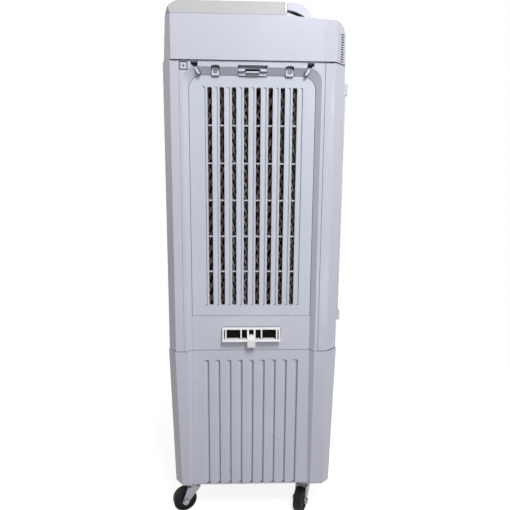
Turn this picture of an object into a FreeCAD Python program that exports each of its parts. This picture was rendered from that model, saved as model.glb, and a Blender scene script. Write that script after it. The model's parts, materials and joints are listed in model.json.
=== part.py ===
import FreeCAD, Part
import math
import os

import Sketcher
from types import SimpleNamespace

# Portable evaporative cooler. X points to the air outlet, Y to the left side and Z up.
# The origin is on the floor under the middle of the side panels. All lengths are in millimetres.

SIZES = (
    # the body as a whole
    ("rear_reach", 197, "middle of the side panels to the rear face"),
    ("front_reach", 207.5, "middle of the side panels to the front face"),
    ("body_width", 620, "casing, side face to side face"),
    ("tank_underside", 90, "floor to the underside of the tank"),
    ("tank_height", 360, "tank, underside to the seam"),
    ("casing_height", 658, "casing, seam to seam"),
    ("head_height", 92, "top housing, seam to deck"),
    ("lid_height", 30, "lid above the deck"),
    ("head_front_inset", 0.7, "top housing behind the casing's front face"),
    ("head_front_lean", 2.4, "how far the front of the top housing leans in under its round"),
    ("head_side_overhang", 3, "top housing beyond the casing, each side"),
    ("head_rear_inset", 3, "top housing in front of the casing's rear face"),
    ("head_rear_lean", 5.4, "how far the rear of the top housing leans in at the deck"),
    ("seam_gap", 0.4, "open joint between neighbouring shells"),
    ("seat_gap", 0.3, "clearance between a piece and its seat"),
    ("casing_wall", 3, "wall of the casing shells"),
    ("rear_corner_depth", 18, "flat on the rear corner, along the depth"),
    ("rear_corner_width", 20, "flat on the rear corner, along the width"),
    ("front_corner_depth", 26.5, "flat on the front corner, along the depth"),
    ("front_corner_width", 24, "flat on the front corner, along the width"),
    # tank
    ("tank_wall", 4, "wall of the tank"),
    ("tank_floor", 6, "floor of the tank"),
    ("tank_overhang", 1.5, "tank beyond the casing at the seam"),
    ("tank_draft", 9, "how far each tank face leans in at its foot"),
    ("channel_draft", 4, "how far the channel floor leans in at its foot"),
    ("corner_taper", 11.5, "how much smaller the front corner flat is at the foot"),
    ("tank_foot_bevel", 8, "bevel round the foot of the tank"),
    ("flute_width", 14.5, "flute in the tank side"),
    ("flute_depth", 4.5, "flute in the tank side"),
    ("flute_lead", 6.5, "middle of a flute's place to its steep side"),
    ("flute_wall", 2.6, "steep side of a flute"),
    ("flute_corner", 4, "corner of a flute's head"),
    ("flute_pitch", 27, "flutes and slots, centre to centre"),
    ("flute_count", 9, "flutes on a side"),
    ("flute_foot", 5, "tank underside to the foot of the flutes"),
    ("flute_head", 24.5, "seam down to the heads of the flutes"),
    # side channel and the panel seams
    ("panel_width", 318, "side panel, seam to seam"),
    ("channel_width", 281, "floor of the side channel"),
    ("channel_depth", 11, "side channel below the side face"),
    ("channel_top_rise", 14.5, "height of the slope over the channel"),
    ("channel_arch", 31, "round in the upper corners of the channel"),
    ("mouth_arch", 29, "round in the upper corners of the channel at the side face"),
    ("brace_inner", 113, "slanted rib in the upper corner, inner edge at its foot"),
    ("brace_width", 6.5, "slanted rib in the upper corner"),
    ("brace_shift", 9, "how far the slanted rib leans outwards"),
    ("brace_setback", 1.3, "slanted rib behind the side face"),
    ("header_height", 26, "thick bar over the pad opening"),
    ("header_half_width", 137, "half the length of that bar"),
    ("corner_pocket_start", 119, "small pocket beside the header, inner edge"),
    ("corner_pocket_width", 15.3, "small pocket beside the header"),
    ("corner_pocket_height", 10.5, "small pocket beside the header"),
    ("corner_pocket_rise", 14.2, "top of the pad frame to the small pocket"),
    ("pocket_latch", 6.5, "latch in the outer lower corner of the small pocket"),
    ("pocket_latch_setback", 1.5, "latch behind the side face"),
    ("cover_square", 18, "square screw cover at the rear upper corner"),
    ("cover_rise", 15.5, "top of the pad frame to the middle of the cover"),
    ("cover_groove", 2.2, "width and depth of the groove round the cover"),
    # pad frames
    ("frame_rise", 86.7, "seam to the foot of the pad frame"),
    ("frame_height", 543.6, "pad frame"),
    ("frame_thickness", 10, "pad frame"),
    ("frame_gap", 0.8, "gap round the pad frame"),
    ("collar_wall", 3, "collar round the pad frame"),
    ("flange_thickness", 3, "ledge behind the pad frame"),
    ("slot_width", 10, "air slot"),
    ("slot_corner", 3, "rounded corner of an air slot"),
    ("slot_foot", 24.7, "foot of the frame to the slots"),
    ("slot_head", 24.8, "slots to the top of the frame"),
    ("slot_columns", 8, "slots across a side frame"),
    ("rear_columns", 16, "slots across the rear frame"),
    ("slot_rows", 6, "rows that the cross bars make"),
    ("bar_height", 3, "cross bar"),
    ("bar_thickness", 4, "cross bar"),
    ("bar_setback", 2, "cross bar behind the frame's face"),
    ("rib_groove_width", 8.5, "groove in the face of a rib"),
    ("rib_groove_depth", 2, "groove in the face of a rib"),
    ("rib_groove_wall", 1.2, "steep side of the groove in a rib"),
    ("rib_groove_corner", 3, "corner of the groove in a rib"),
    ("rear_frame_width", 460, "opening for the rear frame"),
    ("rear_channel_depth", 6, "rear recess below the rear face"),
    ("pad_thickness", 45, "cooling pad"),
    ("pad_margin", 6.5, "pad beyond the outermost slots"),
    ("pad_overlap", 14, "pad beyond the slots, top and bottom"),
    ("pad_play", 1.5, "gap round the pad in its opening"),
    ("ear_spacing", 162, "screw to screw on a side frame"),
    ("rear_ear_spacing", 324, "screw to screw on the rear frame"),
    ("ear_width", 16.7, "screw ear"),
    ("ear_thickness", 4.5, "screw ear"),
    ("ear_pocket_play", 0.8, "pocket beyond the ear, each side"),
    ("ear_rise", 7.5, "opening's top edge to the screw"),
    ("ear_crown", 5, "height of the arch on a screw ear"),
    ("ear_rim", 1.5, "screw ear above the sunk seat of the screw"),
    ("pocket_crown", 2, "height of the arch on a screw pocket"),
    ("screw_seat_radius", 4.8, "sunk seat of the screw"),
    ("screw_seat_depth", 2.5, "sunk seat of the screw"),
    ("ear_root", 2, "ear below the opening's top edge"),
    ("pocket_rise", 18.4, "opening's top edge to the top of the pockets"),
    ("screw_radius", 2, "pad frame screw"),
    ("screw_hole_gap", 0.2, "hole round the screw"),
    ("screw_head_radius", 3.3, "pad frame screw"),
    ("screw_head_height", 2.2, "pad frame screw"),
    ("catch_half_width", 31.4, "catch plate"),
    ("catch_height", 13.5, "catch plate"),
    ("catch_thickness", 2.7, "catch plate"),
    ("catch_lip_half", 14.5, "finger lip of the catch"),
    ("catch_lip_height", 3.5, "finger lip of the catch"),
    ("catch_lip_depth", 6, "finger lip of the catch"),
    ("catch_lip_rise", 4.5, "foot of the catch plate to its finger lip"),
    ("catch_slot_margin", 0.6, "slot of the catch to the top of its plate"),
    ("catch_block_width", 14.5, "raised block at each end of the catch"),
    ("catch_block_height", 5.6, "raised block at each end of the catch"),
    ("catch_block_depth", 5, "raised block at each end of the catch"),
    ("catch_hold", 1.5, "catch plate over the top edge of the frame"),
    ("catch_play", 0.6, "pocket round the catch plate"),
    # fill drawer
    ("drawer_rise", 25.5, "seam to the drawer face"),
    ("drawer_width", 138, "drawer face"),
    ("drawer_height", 31.9, "drawer face"),
    ("drawer_proud", 14, "foot of the drawer face above the channel floor"),
    ("drawer_top_proud", 3, "top of the drawer face above the channel floor"),
    ("drawer_depth", 46, "drawer box behind its face"),
    ("drawer_rebate", 4, "drawer face round its box, each side"),
    ("drawer_play", 0.5, "opening round the drawer box"),
    ("drawer_wall", 2.5, "wall of the drawer box"),
    ("drawer_window_floor", 1.2, "material behind the windows in the drawer face"),
    ("drawer_window_margin", 5, "windows to the edge of the drawer face"),
    ("drawer_middle_window", 11, "small window over the pull tab"),
    ("drawer_tab_width", 19, "pull tab"),
    ("drawer_tab_height", 13, "pull tab, below the face"),
    ("drawer_tab_depth", 12, "pull tab"),
    ("drawer_tab_lead", 3, "pull tab in front of the face"),
    # top housing
    ("deck_wall", 3, "deck plate"),
    ("deck_break", 265, "deck, rear face to the start of the front slope"),
    ("front_fall", 9, "fall of the deck to the front round"),
    ("front_round", 22, "front upper round, along the depth"),
    ("front_round_fall", 20, "front upper round, height"),
    ("front_round_radius", 24, "front upper round"),
    ("bridge_width", 4.5, "bar between the lid and the control hood"),
    ("lid_side_slope", 10, "how far the lid's sides lean in"),
    ("lid_rear_radius", 36, "round at the rear of the lid"),
    ("lid_wall", 3, "lid"),
    ("lid_gap", 0.5, "gap under and round the lid"),
    ("hinge_height", 8, "lid hinge axis above the deck"),
    ("hinge_setback", 3, "lid hinge axis in front of the lid's rear face"),
    ("hinge_offset", 150, "lid hinge from the middle"),
    ("barrel_length", 40, "lid hinge barrel"),
    ("barrel_radius", 4, "lid hinge barrel"),
    ("hinge_pin_radius", 1.5, "hinge pins"),
    ("pin_gap", 0.06, "running clearance of pins and shafts"),
    ("hinge_pin_reach", 10, "hinge pin in its bore"),
    ("hinge_ear_width", 4, "ear that holds a hinge pin"),
    ("hinge_ear_gap", 0.5, "gap beside a hinge ear"),
    ("vent_count", 12, "slots in the front corner"),
    ("vent_pitch", 5.1, "slots in the front corner"),
    ("vent_height", 2.6, "slot in the front corner"),
    ("vent_foot", 2.5, "seam to the first corner slot"),
    ("vent_length", 14, "corner slot, along the depth"),
    ("vent_reach", 20, "corner slot, along the width"),
    ("dot_radius", 0.9, "small dimple beside the corner slots"),
    ("dot_depth", 9, "small dimple, from the side face"),
    # ice tray
    ("tray_rear", 160, "tray box, rear wall behind the middle"),
    ("tray_front", 36, "tray box, front wall before the middle"),
    ("tray_width", 426, "tray box"),
    ("tray_depth", 65, "tray box below the deck"),
    ("tray_wall", 2.5, "tray"),
    ("tray_rim", 8, "tray rim on the deck"),
    ("tray_rim_height", 2, "tray rim on the deck"),
    ("tray_play", 2, "deck opening round the tray box"),
    ("drip_radius", 2.5, "drip hole"),
    ("drip_pitch", 60, "drip holes of the tray"),
    # control panel, knobs, buttons and hood
    ("panel_run", 42, "control panel, front to back"),
    ("panel_tilt", 21, "slope of the control panel in degrees"),
    ("panel_lip", 2, "front edge of the control panel"),
    ("panel_half_length", 294, "half the length of the control panel"),
    ("panel_wall", 2.5, "control panel"),
    ("panel_setback", 1, "control panel in front of the bridge"),
    ("knob_offset", 90, "knob from the middle"),
    ("knob_radius", 12, "knob"),
    ("knob_height", 6, "knob"),
    ("knob_shaft_radius", 3, "knob shaft"),
    ("knob_shaft_length", 8, "knob shaft below the knob"),
    ("knob_gap", 0.4, "gap under a knob"),
    ("button_offset", 22, "button from the middle"),
    ("button_radius", 7, "push button"),
    ("button_height", 4.5, "push button above the panel"),
    ("button_stem", 3.5, "push button below the panel's face"),
    ("button_gap", 0.2, "hole round a button"),
    ("hood_half_length", 300, "half the length of the hood"),
    ("hood_run", 55.5, "hood, rear face to front edge"),
    ("hood_flat", 14, "flat top of the hood"),
    ("hood_radius", 42, "outer round of the hood"),
    ("hood_inner_radius", 85, "round of the opening in the hood's ends"),
    ("hood_thickness", 14, "hood at its rear"),
    ("hood_wall", 3, "hood shell and its end walls"),
    ("hood_hollow_radius", 37, "inner round of the hood shell"),
    ("hood_edge", 8, "hood at its front edge"),
    ("hood_gap", 0.5, "gap behind and under the hood"),
    ("hood_hinge_radius", 4, "round rear upper edge, about the hinge axis"),
    ("hood_knuckle", 3.6, "knuckle on the bridge"),
    ("hood_hinge_offset", 150, "hood hinge from the middle"),
    # outlet
    ("outlet_width", 508, "opening in the front wall"),
    ("outlet_height", 517.2, "opening in the front wall"),
    ("outlet_rise", 86.3, "seam to the opening"),
    ("duct_depth", 84, "duct behind the front wall"),
    ("bezel_flange", 20, "bezel beyond the opening"),
    ("bezel_thickness", 5.5, "bezel flange"),
    ("bezel_lug", 4.4, "end bars of the bezel above its flange"),
    ("bezel_lug_height", 25, "end bars of the bezel"),
    ("bezel_gap", 0.6, "gap between bezel and duct"),
    ("bezel_wall", 3, "bezel tube"),
    ("louver_count", 6, "louvers"),
    ("louver_setback", 24, "front face to the louver pivots"),
    ("louver_chord", 50, "louver"),
    ("louver_edge", 1.6, "louver edge"),
    ("louver_swell", 2.4, "louver surface above its edge"),
    ("louver_end_gap", 10, "louver to the bezel tube"),
    ("pivot_radius", 3, "louver and vane pivots"),
    ("crank_radius", 2, "crank pins"),
    ("crank_gap", 0.15, "clearance of the crank pins"),
    ("louver_crank", 16, "louver pivot to crank pin"),
    ("link_width", 9, "link bars"),
    ("link_thickness", 3, "link bars"),
    ("link_gap", 1.5, "link bar to the louver ends"),
    ("link_overrun", 8, "link bar beyond its last pins"),
    ("vane_setback", 67, "front face to the vane pivots"),
    ("vane_chord", 30, "vane"),
    ("vane_edge", 1.2, "vane edge"),
    ("vane_swell", 1.6, "vane surface above its edge"),
    ("vane_pitch", 100, "vanes, centre to centre"),
    ("vane_end_gap", 8, "vane to the bezel tube"),
    ("vane_crank", 10, "vane pivot to crank pin"),
    # fan
    ("fan_radius", 188, "fan blades"),
    ("fan_tip_gap", 8, "blades to the ring"),
    ("fan_ring_depth", 60, "ring behind the duct"),
    ("shroud_wall", 3, "shroud"),
    ("strut_width", 14, "motor strut"),
    ("strut_depth", 8, "motor strut"),
    ("motor_radius", 44.7, "fan motor"),
    ("motor_length", 100, "fan motor"),
    ("motor_seat", 12, "motor in its ring"),
    ("motor_ring_wall", 9, "ring round the motor"),
    ("shaft_radius", 6, "motor shaft"),
    ("shaft_length", 42, "motor shaft"),
    ("hub_radius", 40, "fan hub"),
    ("hub_length", 40, "fan hub"),
    ("hub_gap", 4, "motor to hub"),
    ("blade_count", 5, "fan blades"),
    ("blade_chord", 84, "fan blade"),
    ("blade_thickness", 3, "fan blade"),
    ("blade_root_pitch", 32, "blade angle at the hub in degrees"),
    ("blade_tip_pitch", 20, "blade angle at the tip in degrees"),
    # water
    ("pump_x", 147, "pump behind the middle"),
    ("pump_y", 248, "pump to the left of the middle"),
    ("pump_side", 52, "pump body"),
    ("pump_height", 56, "pump body"),
    ("riser_radius", 8, "riser tube"),
    ("riser_wall", 2, "riser tube"),
    ("riser_hole_gap", 0.3, "hole round the riser"),
    ("gutter_width", 58, "water distributor"),
    ("gutter_height", 20, "water distributor"),
    ("gutter_wall", 2, "water distributor"),
    ("gutter_front", 143, "front end of the distributor"),
    ("gutter_corner", 15, "flat on the distributor's corner"),
    ("gutter_drips", 9, "drip holes along a leg"),
    ("gutter_drip_pitch", 26, "drip holes along a leg"),
    ("valve_y", 100, "float valve to the right of the middle"),
    ("valve_drop", 50, "seam down to the float valve"),
    ("inlet_radius", 8, "hose inlet"),
    ("inlet_length", 12, "hose inlet outside its nut"),
    ("inlet_hole_gap", 0.2, "hole round the inlet"),
    ("inlet_nut_height", 3.5, "nut on the hose inlet"),
    ("valve_flange_radius", 13, "valve flange"),
    ("valve_side", 24, "valve body"),
    ("valve_length", 25, "valve body"),
    ("valve_ear_length", 12, "valve ears"),
    ("valve_ear_gap", 8, "between the valve ears"),
    ("arm_thickness", 6, "float arm"),
    ("arm_width", 8, "float arm"),
    ("arm_length", 60, "float arm, pivot to float"),
    ("arm_droop", 25, "float arm below level, resting on its lower stop"),
    ("float_radius", 24, "float"),
    ("float_length", 50, "float"),
    ("drain_rise", 30, "tank underside to the drain"),
    ("drain_radius", 7, "drain hole"),
    ("drain_gap", 0.3, "plug in the drain hole"),
    ("drain_cap_radius", 14, "drain cap"),
    ("drain_cap_height", 8, "drain cap"),
    # cord gland
    ("gland_y", 170, "cord gland to the left of the middle"),
    ("gland_rise", 40, "seam to the cord gland"),
    ("gland_radius", 13, "cord gland flange"),
    ("gland_neck_radius", 8, "cord gland neck"),
    ("gland_bore_radius", 4, "cord gland bore"),
    ("gland_flange", 5, "cord gland flange"),
    ("gland_neck", 12, "cord gland neck"),
    # castors
    ("castor_rear_x", 151, "rear swivel axis behind the middle"),
    ("castor_front_x", 142, "front swivel axis before the middle"),
    ("castor_y", 256, "swivel axes from the middle"),
    ("rear_heading", 20, "how the rear castors stand, in degrees"),
    ("front_heading", 63, "how the front castors stand, in degrees"),
    ("wheel_radius", 30, "castor wheel"),
    ("wheel_width", 24, "castor wheel"),
    ("wheel_round", 5, "round of the tread's edge"),
    ("wheel_dish", 4, "dish in the wheel's side"),
    ("hub_boss", 0.8, "hub beyond the wheel's side"),
    ("hub_boss_radius", 8, "hub of the wheel"),
    ("axle_radius", 4, "castor axle"),
    ("axle_head_radius", 7, "castor axle head and nut"),
    ("axle_head_height", 4, "castor axle head and nut"),
    ("castor_trail", 22, "swivel axis to the axle"),
    ("cheek_gap", 1.2, "wheel to fork"),
    ("fork_plate", 2.5, "fork sheet"),
    ("fork_end_radius", 9, "fork round the axle"),
    ("crown_half", 17, "half the length of the fork's crown"),
    ("crown_underside", 63, "floor to the fork's crown"),
    ("crown_plate", 3, "fork's crown"),
    ("race_radius", 16, "ball race"),
    ("race_height", 6, "lower ball race"),
    ("kingpin_radius", 5, "king pin"),
    ("kingpin_head_radius", 8, "king pin head"),
    ("kingpin_head_height", 4, "king pin head"),
    ("castor_plate_side", 48, "castor plate"),
    ("castor_plate", 3, "castor plate"),
    ("foot_pad_height", 2, "boss on the tank over a castor"),
)

doc = FreeCAD.newDocument("EvaporativeCooler")
sheet = doc.addObject("Spreadsheet::Sheet", "Sizes")


class Size:
    """A number together with the sheet expression that gives it."""

    def __init__(self, value, text):
        self.value = value
        self.text = text

    def __add__(self, other):
        other = as_size(other)
        return Size(self.value + other.value, f"({self.text} + {other.text})")

    def __sub__(self, other):
        other = as_size(other)
        return Size(self.value - other.value, f"({self.text} - {other.text})")

    def __mul__(self, other):
        other = as_size(other)
        return Size(self.value * other.value, f"{self.text} * {other.text}")

    def __truediv__(self, other):
        other = as_size(other)
        return Size(self.value / other.value, f"({self.text}) / ({other.text})")

    def __neg__(self):
        return Size(-self.value, f"(0 - {self.text})")

    def __radd__(self, other):
        return as_size(other) + self

    def __rsub__(self, other):
        return as_size(other) - self

    def __rmul__(self, other):
        return as_size(other) * self


def as_size(number):
    return number if isinstance(number, Size) else Size(number, str(number))


def sine(angle):
    return Size(math.sin(math.radians(angle.value)), f"sin({angle.text})")


def cosine(angle):
    return Size(math.cos(math.radians(angle.value)), f"cos({angle.text})")


def tangent(angle):
    return Size(math.tan(math.radians(angle.value)), f"tan({angle.text})")


def square_root(area):
    return Size(math.sqrt(area.value), f"sqrt({area.text})")


def fill_sheet():
    """Writes the sizes to the sheet and returns them by name."""
    sizes = SimpleNamespace()
    for row, (alias, number, meaning) in enumerate(SIZES, start=1):
        sheet.set(f"A{row}", meaning)
        sheet.set(f"B{row}", str(number))
        sheet.setAlias(f"B{row}", alias)
        setattr(sizes, alias, Size(number, f"Sizes.{alias}"))
    doc.recompute()
    return sizes


s = fill_sheet()

# ---------------------------------------------------------------- drawing helpers


def bind(thing, name, amount):
    """Ties a property, or a part of one, to the sheet."""
    thing.setExpression(name, as_size(amount).text)


def lock(sketch, kind, where, amount):
    """Adds a dimension to a sketch and ties it to the sheet of sizes."""
    amount = as_size(amount)
    index = sketch.addConstraint(Sketcher.Constraint(kind, *where, amount.value))
    sketch.setExpression(f"Constraints[{index}]", amount.text)


def poly(points, bends=None):
    """A closed outline. bends gives the radius of the arc that leaves a point, minus for a right turn."""
    bends = bends or {}

    def draw(sketch):
        ends = []
        for number, start in enumerate(points):
            stop = points[(number + 1) % len(points)]
            one = FreeCAD.Vector(as_size(start[0]).value, as_size(start[1]).value, 0)
            two = FreeCAD.Vector(as_size(stop[0]).value, as_size(stop[1]).value, 0)
            if number not in bends:
                edge = sketch.addGeometry(Part.LineSegment(one, two), False)
                ends.append((edge, 1, 2))
                continue
            bend = as_size(bends[number])
            radius = abs(bend.value)
            chord = two - one
            left = FreeCAD.Vector(-chord.y, chord.x, 0).normalize()
            side = 1 if bend.value > 0 else -1
            height = math.sqrt(max(radius ** 2 - (chord.Length / 2) ** 2, 0))
            centre = (one + two) / 2 + left * (side * height)
            first, last = (one, two) if side > 0 else (two, one)
            angles = [math.atan2(p.y - centre.y, p.x - centre.x) for p in (first, last)]
            round_edge = Part.Circle(centre, FreeCAD.Vector(0, 0, 1), radius)
            edge = sketch.addGeometry(Part.ArcOfCircle(round_edge, angles[0], angles[1]), False)
            ends.append((edge, 1, 2) if side > 0 else (edge, 2, 1))
        for number, (edge, start_end, stop_end) in enumerate(ends):
            following = ends[(number + 1) % len(ends)]
            joint = (edge, stop_end, following[0], following[1])
            sketch.addConstraint(Sketcher.Constraint("Coincident", *joint))
            lock(sketch, "DistanceX", (-1, 1, edge, start_end), points[number][0])
            lock(sketch, "DistanceY", (-1, 1, edge, start_end), points[number][1])
            if number in bends:
                bend = as_size(bends[number])
                lock(sketch, "Radius", (edge,), bend if bend.value > 0 else -bend)

    return draw


def rectangle(low, high, foot, top):
    return poly([(low, foot), (high, foot), (high, top), (low, top)])


def disc(across, up, radius):
    """A full circle."""

    def draw(sketch):
        centre = FreeCAD.Vector(as_size(across).value, as_size(up).value, 0)
        round_edge = Part.Circle(centre, FreeCAD.Vector(0, 0, 1), radius.value)
        edge = sketch.addGeometry(round_edge, False)
        lock(sketch, "DistanceX", (-1, 1, edge, 3), across)
        lock(sketch, "DistanceY", (-1, 1, edge, 3), up)
        lock(sketch, "Radius", (edge,), radius)

    return draw


def arch(half, foot, top, radius):
    """An upright opening with square lower and round upper corners."""
    points = [
        (-half, foot), (half, foot), (half, top - radius),
        (half - radius, top), (radius - half, top), (-half, top - radius),
    ]
    return poly(points, {2: radius, 4: radius})


def new_body(label):
    body = doc.addObject("PartDesign::Body", label)
    body.Label = label
    return body


def origin_part(body, role):
    return [part for part in body.Origin.OriginFeatures if part.Role == role][0]


def sketch_on(body, plane, level, *shapes):
    """A sketch on one of the body's own planes. On XZ a level is a place along +Y."""
    sketch = body.newObject("Sketcher::SketchObject", "Sketch")
    sketch.AttachmentSupport = [(origin_part(body, plane + "_Plane"), "")]
    sketch.MapMode = "FlatFace"
    bind(sketch, "AttachmentOffset.Base.z", -level if plane == "XZ" else level)
    for draw in shapes:
        draw(sketch)
    sketch.Visibility = False
    return sketch


def pad(body, plane, low, high, *shapes):
    """Material between two levels of a plane."""
    low, high = as_size(low), as_size(high)
    feature = body.newObject("PartDesign::Pad", "Pad")
    feature.Profile = sketch_on(body, plane, high if plane == "XZ" else low, *shapes)
    bind(feature, "Length", high - low)
    return feature


def pocket(body, plane, low, high, *shapes):
    """A cut between two levels of a plane."""
    low, high = as_size(low), as_size(high)
    feature = body.newObject("PartDesign::Pocket", "Pocket")
    feature.Profile = sketch_on(body, plane, low if plane == "XZ" else high, *shapes)
    bind(feature, "Length", high - low)
    return feature


def loft(body, plane, sections, cut=False):
    """A straight-sided solid, or a cut, from one outline to the next."""
    kind = "PartDesign::SubtractiveLoft" if cut else "PartDesign::AdditiveLoft"
    feature = body.newObject(kind, "Loft")
    sketches = [sketch_on(body, plane, as_size(level), shape) for level, shape in sections]
    feature.Profile = sketches[0]
    feature.Sections = sketches[1:]
    feature.Ruled = True
    return feature


def turn(body, plane, axis, *shapes):
    """A full turn of an outline about one of the body's axes."""
    feature = body.newObject("PartDesign::Revolution", "Turn")
    feature.Profile = sketch_on(body, plane, as_size(0), *shapes)
    feature.ReferenceAxis = (origin_part(body, axis + "_Axis"), [""])
    feature.Angle = 360
    return feature


def row(body, features, axis, pitch, count):
    """Repeats features along one of the body's axes."""
    pattern = body.newObject("PartDesign::LinearPattern", "Row")
    pattern.Originals = features
    pattern.Direction = (origin_part(body, axis + "_Axis"), [""])
    bind(pattern, "Length", pitch * (count - 1))
    bind(pattern, "Occurrences", count)
    body.Tip = pattern
    return pattern


def place(thing, across=0, along=0, up=0, axis=(0, 0, 1), angle=0):
    thing.Placement = FreeCAD.Placement(FreeCAD.Vector(), FreeCAD.Rotation(FreeCAD.Vector(*axis), 1))
    bind(thing, "Placement.Base.x", across)
    bind(thing, "Placement.Base.y", along)
    bind(thing, "Placement.Base.z", up)
    bind(thing, "Placement.Rotation.Angle", angle)
    return thing


def rod(axis, across, up, low, high, radius):
    """A cylinder along X, Y or Z. across and up are its place in the plane it crosses."""
    low, high = as_size(low), as_size(high)
    cylinder = doc.addObject("Part::Cylinder", "Rod")
    bind(cylinder, "Radius", radius)
    bind(cylinder, "Height", high - low)
    if axis == "X":
        return place(cylinder, low, across, up, (0, 1, 0), 90)
    if axis == "Y":
        return place(cylinder, across, low, up, (1, 0, 0), -90)
    return place(cylinder, across, up, low)


def merge(label, members):
    """Joins solids. Those that lie apart stay separate solids of one node."""
    joined = doc.addObject("Part::MultiFuse", label)
    joined.Label = label
    joined.Shapes = members
    return joined


def bore(label, base, tools):
    """Cuts rods out of a body."""
    base.Label = label + "_blank"
    hollow = doc.addObject("Part::Cut", label)
    hollow.Label = label
    hollow.Base = base
    hollow.Tool = tools[0] if len(tools) == 1 else merge(label + "_bores", tools)
    return hollow


nodes = []


def keep(node):
    nodes.append(node)
    return node


# ---------------------------------------------------------------- shared places

half_width = s.body_width / 2
seam = s.tank_underside + s.tank_height
roof = seam + s.casing_height
deck = roof + s.head_height
frame_foot = seam + s.frame_rise
frame_top = frame_foot + s.frame_height
channel_half = s.channel_width / 2
panel_half = (s.panel_width - s.seam_gap) / 2
casing_foot = seam + s.seam_gap
casing_top = roof - s.seam_gap
slot_bottom = frame_foot + s.slot_foot
slot_top = frame_top - s.slot_head

# a wall of thickness 1 moves a mitred 45 degree corner by this much
MITRE = math.sqrt(2) - 1
# share of the foot's bevel at which its slope changes, as on a round
FOOT_STEP = 1 - math.sqrt(0.5)



def scoop_outline(left, face, width, depth, wall, cut_back):
    """Section of a groove that deepens gently from the left and ends at a steep wall.

    cut_back moves the wall to the left, which makes the groove shallower too.
    """
    run = width - wall
    right = left + width - cut_back
    bottom = face + depth * (run - cut_back) / run
    return poly([(left, face - 1), (right, face - 1), (right, face), (right - wall, bottom), (left, face)])


def scoop_steps(foot, head, corner):
    """Levels of such a groove with how far its wall is cut back, for a rounded upper corner."""
    half_turn = 1 - math.sqrt(0.5)
    return [(foot, as_size(0)), (head - corner, as_size(0)),
            (head - corner * half_turn, corner * half_turn), (head, corner)]


# ---------------------------------------------------------------- tank


def tank_share(height):
    """How far down the tank a height lies: 0 at the seam, 1 at the underside."""
    return (seam - height) / s.tank_height


def tank_lean(height):
    """How far the tank's faces lie inside the casing's faces at a height."""
    return s.tank_draft * tank_share(height) - s.tank_overhang


def channel_lean(height):
    """The same for the floor of the channel."""
    return s.channel_draft * tank_share(height) - s.tank_overhang


def tank_outline(height, bevel, wall, channel_extra):
    """Plan of the tank: bevel moves its faces in, wall is a further offset for the inside."""
    inset = tank_lean(height) + bevel + wall
    rear_out = s.rear_reach - inset
    front_out = s.front_reach - inset
    y_face = half_width - tank_lean(height) - bevel
    y_out = y_face - wall
    rear_x = rear_out - s.rear_corner_depth + wall * MITRE
    rear_y = y_out - s.rear_corner_width + wall * MITRE
    front_x = front_out - s.front_corner_depth + s.corner_taper * tank_share(height) + wall * MITRE
    front_y = y_out - s.front_corner_width + s.corner_taper * tank_share(height) + wall * MITRE
    floor_y = half_width - s.channel_depth - channel_lean(height) - bevel / 3
    bed_y = floor_y - channel_extra - wall
    mouth = channel_half + s.channel_depth + wall * MITRE
    bed = channel_half + s.channel_depth - (y_face - floor_y) + wall * MITRE - channel_extra
    lower = [
        (-rear_x, -y_out), (-mouth, -y_out), (-bed, -bed_y), (bed, -bed_y),
        (mouth, -y_out), (front_x, -y_out), (front_out, -front_y),
    ]
    upper = [
        (front_out, front_y), (front_x, y_out), (mouth, y_out), (bed, bed_y), (-bed, bed_y),
        (-mouth, y_out), (-rear_x, y_out), (-rear_out, rear_y), (-rear_out, -rear_y),
    ]
    return poly(lower + upper)


def flute_outline(height, cut_back):
    """Section of the flute at the rear end of the row, with the channel floor's lean."""
    left = s.flute_lead - s.flute_width - s.flute_pitch * (s.flute_count - 1) / 2
    bed_y = s.channel_depth - half_width + channel_lean(height)
    return scoop_outline(left, bed_y, s.flute_width, s.flute_depth, s.flute_wall, cut_back)


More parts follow.
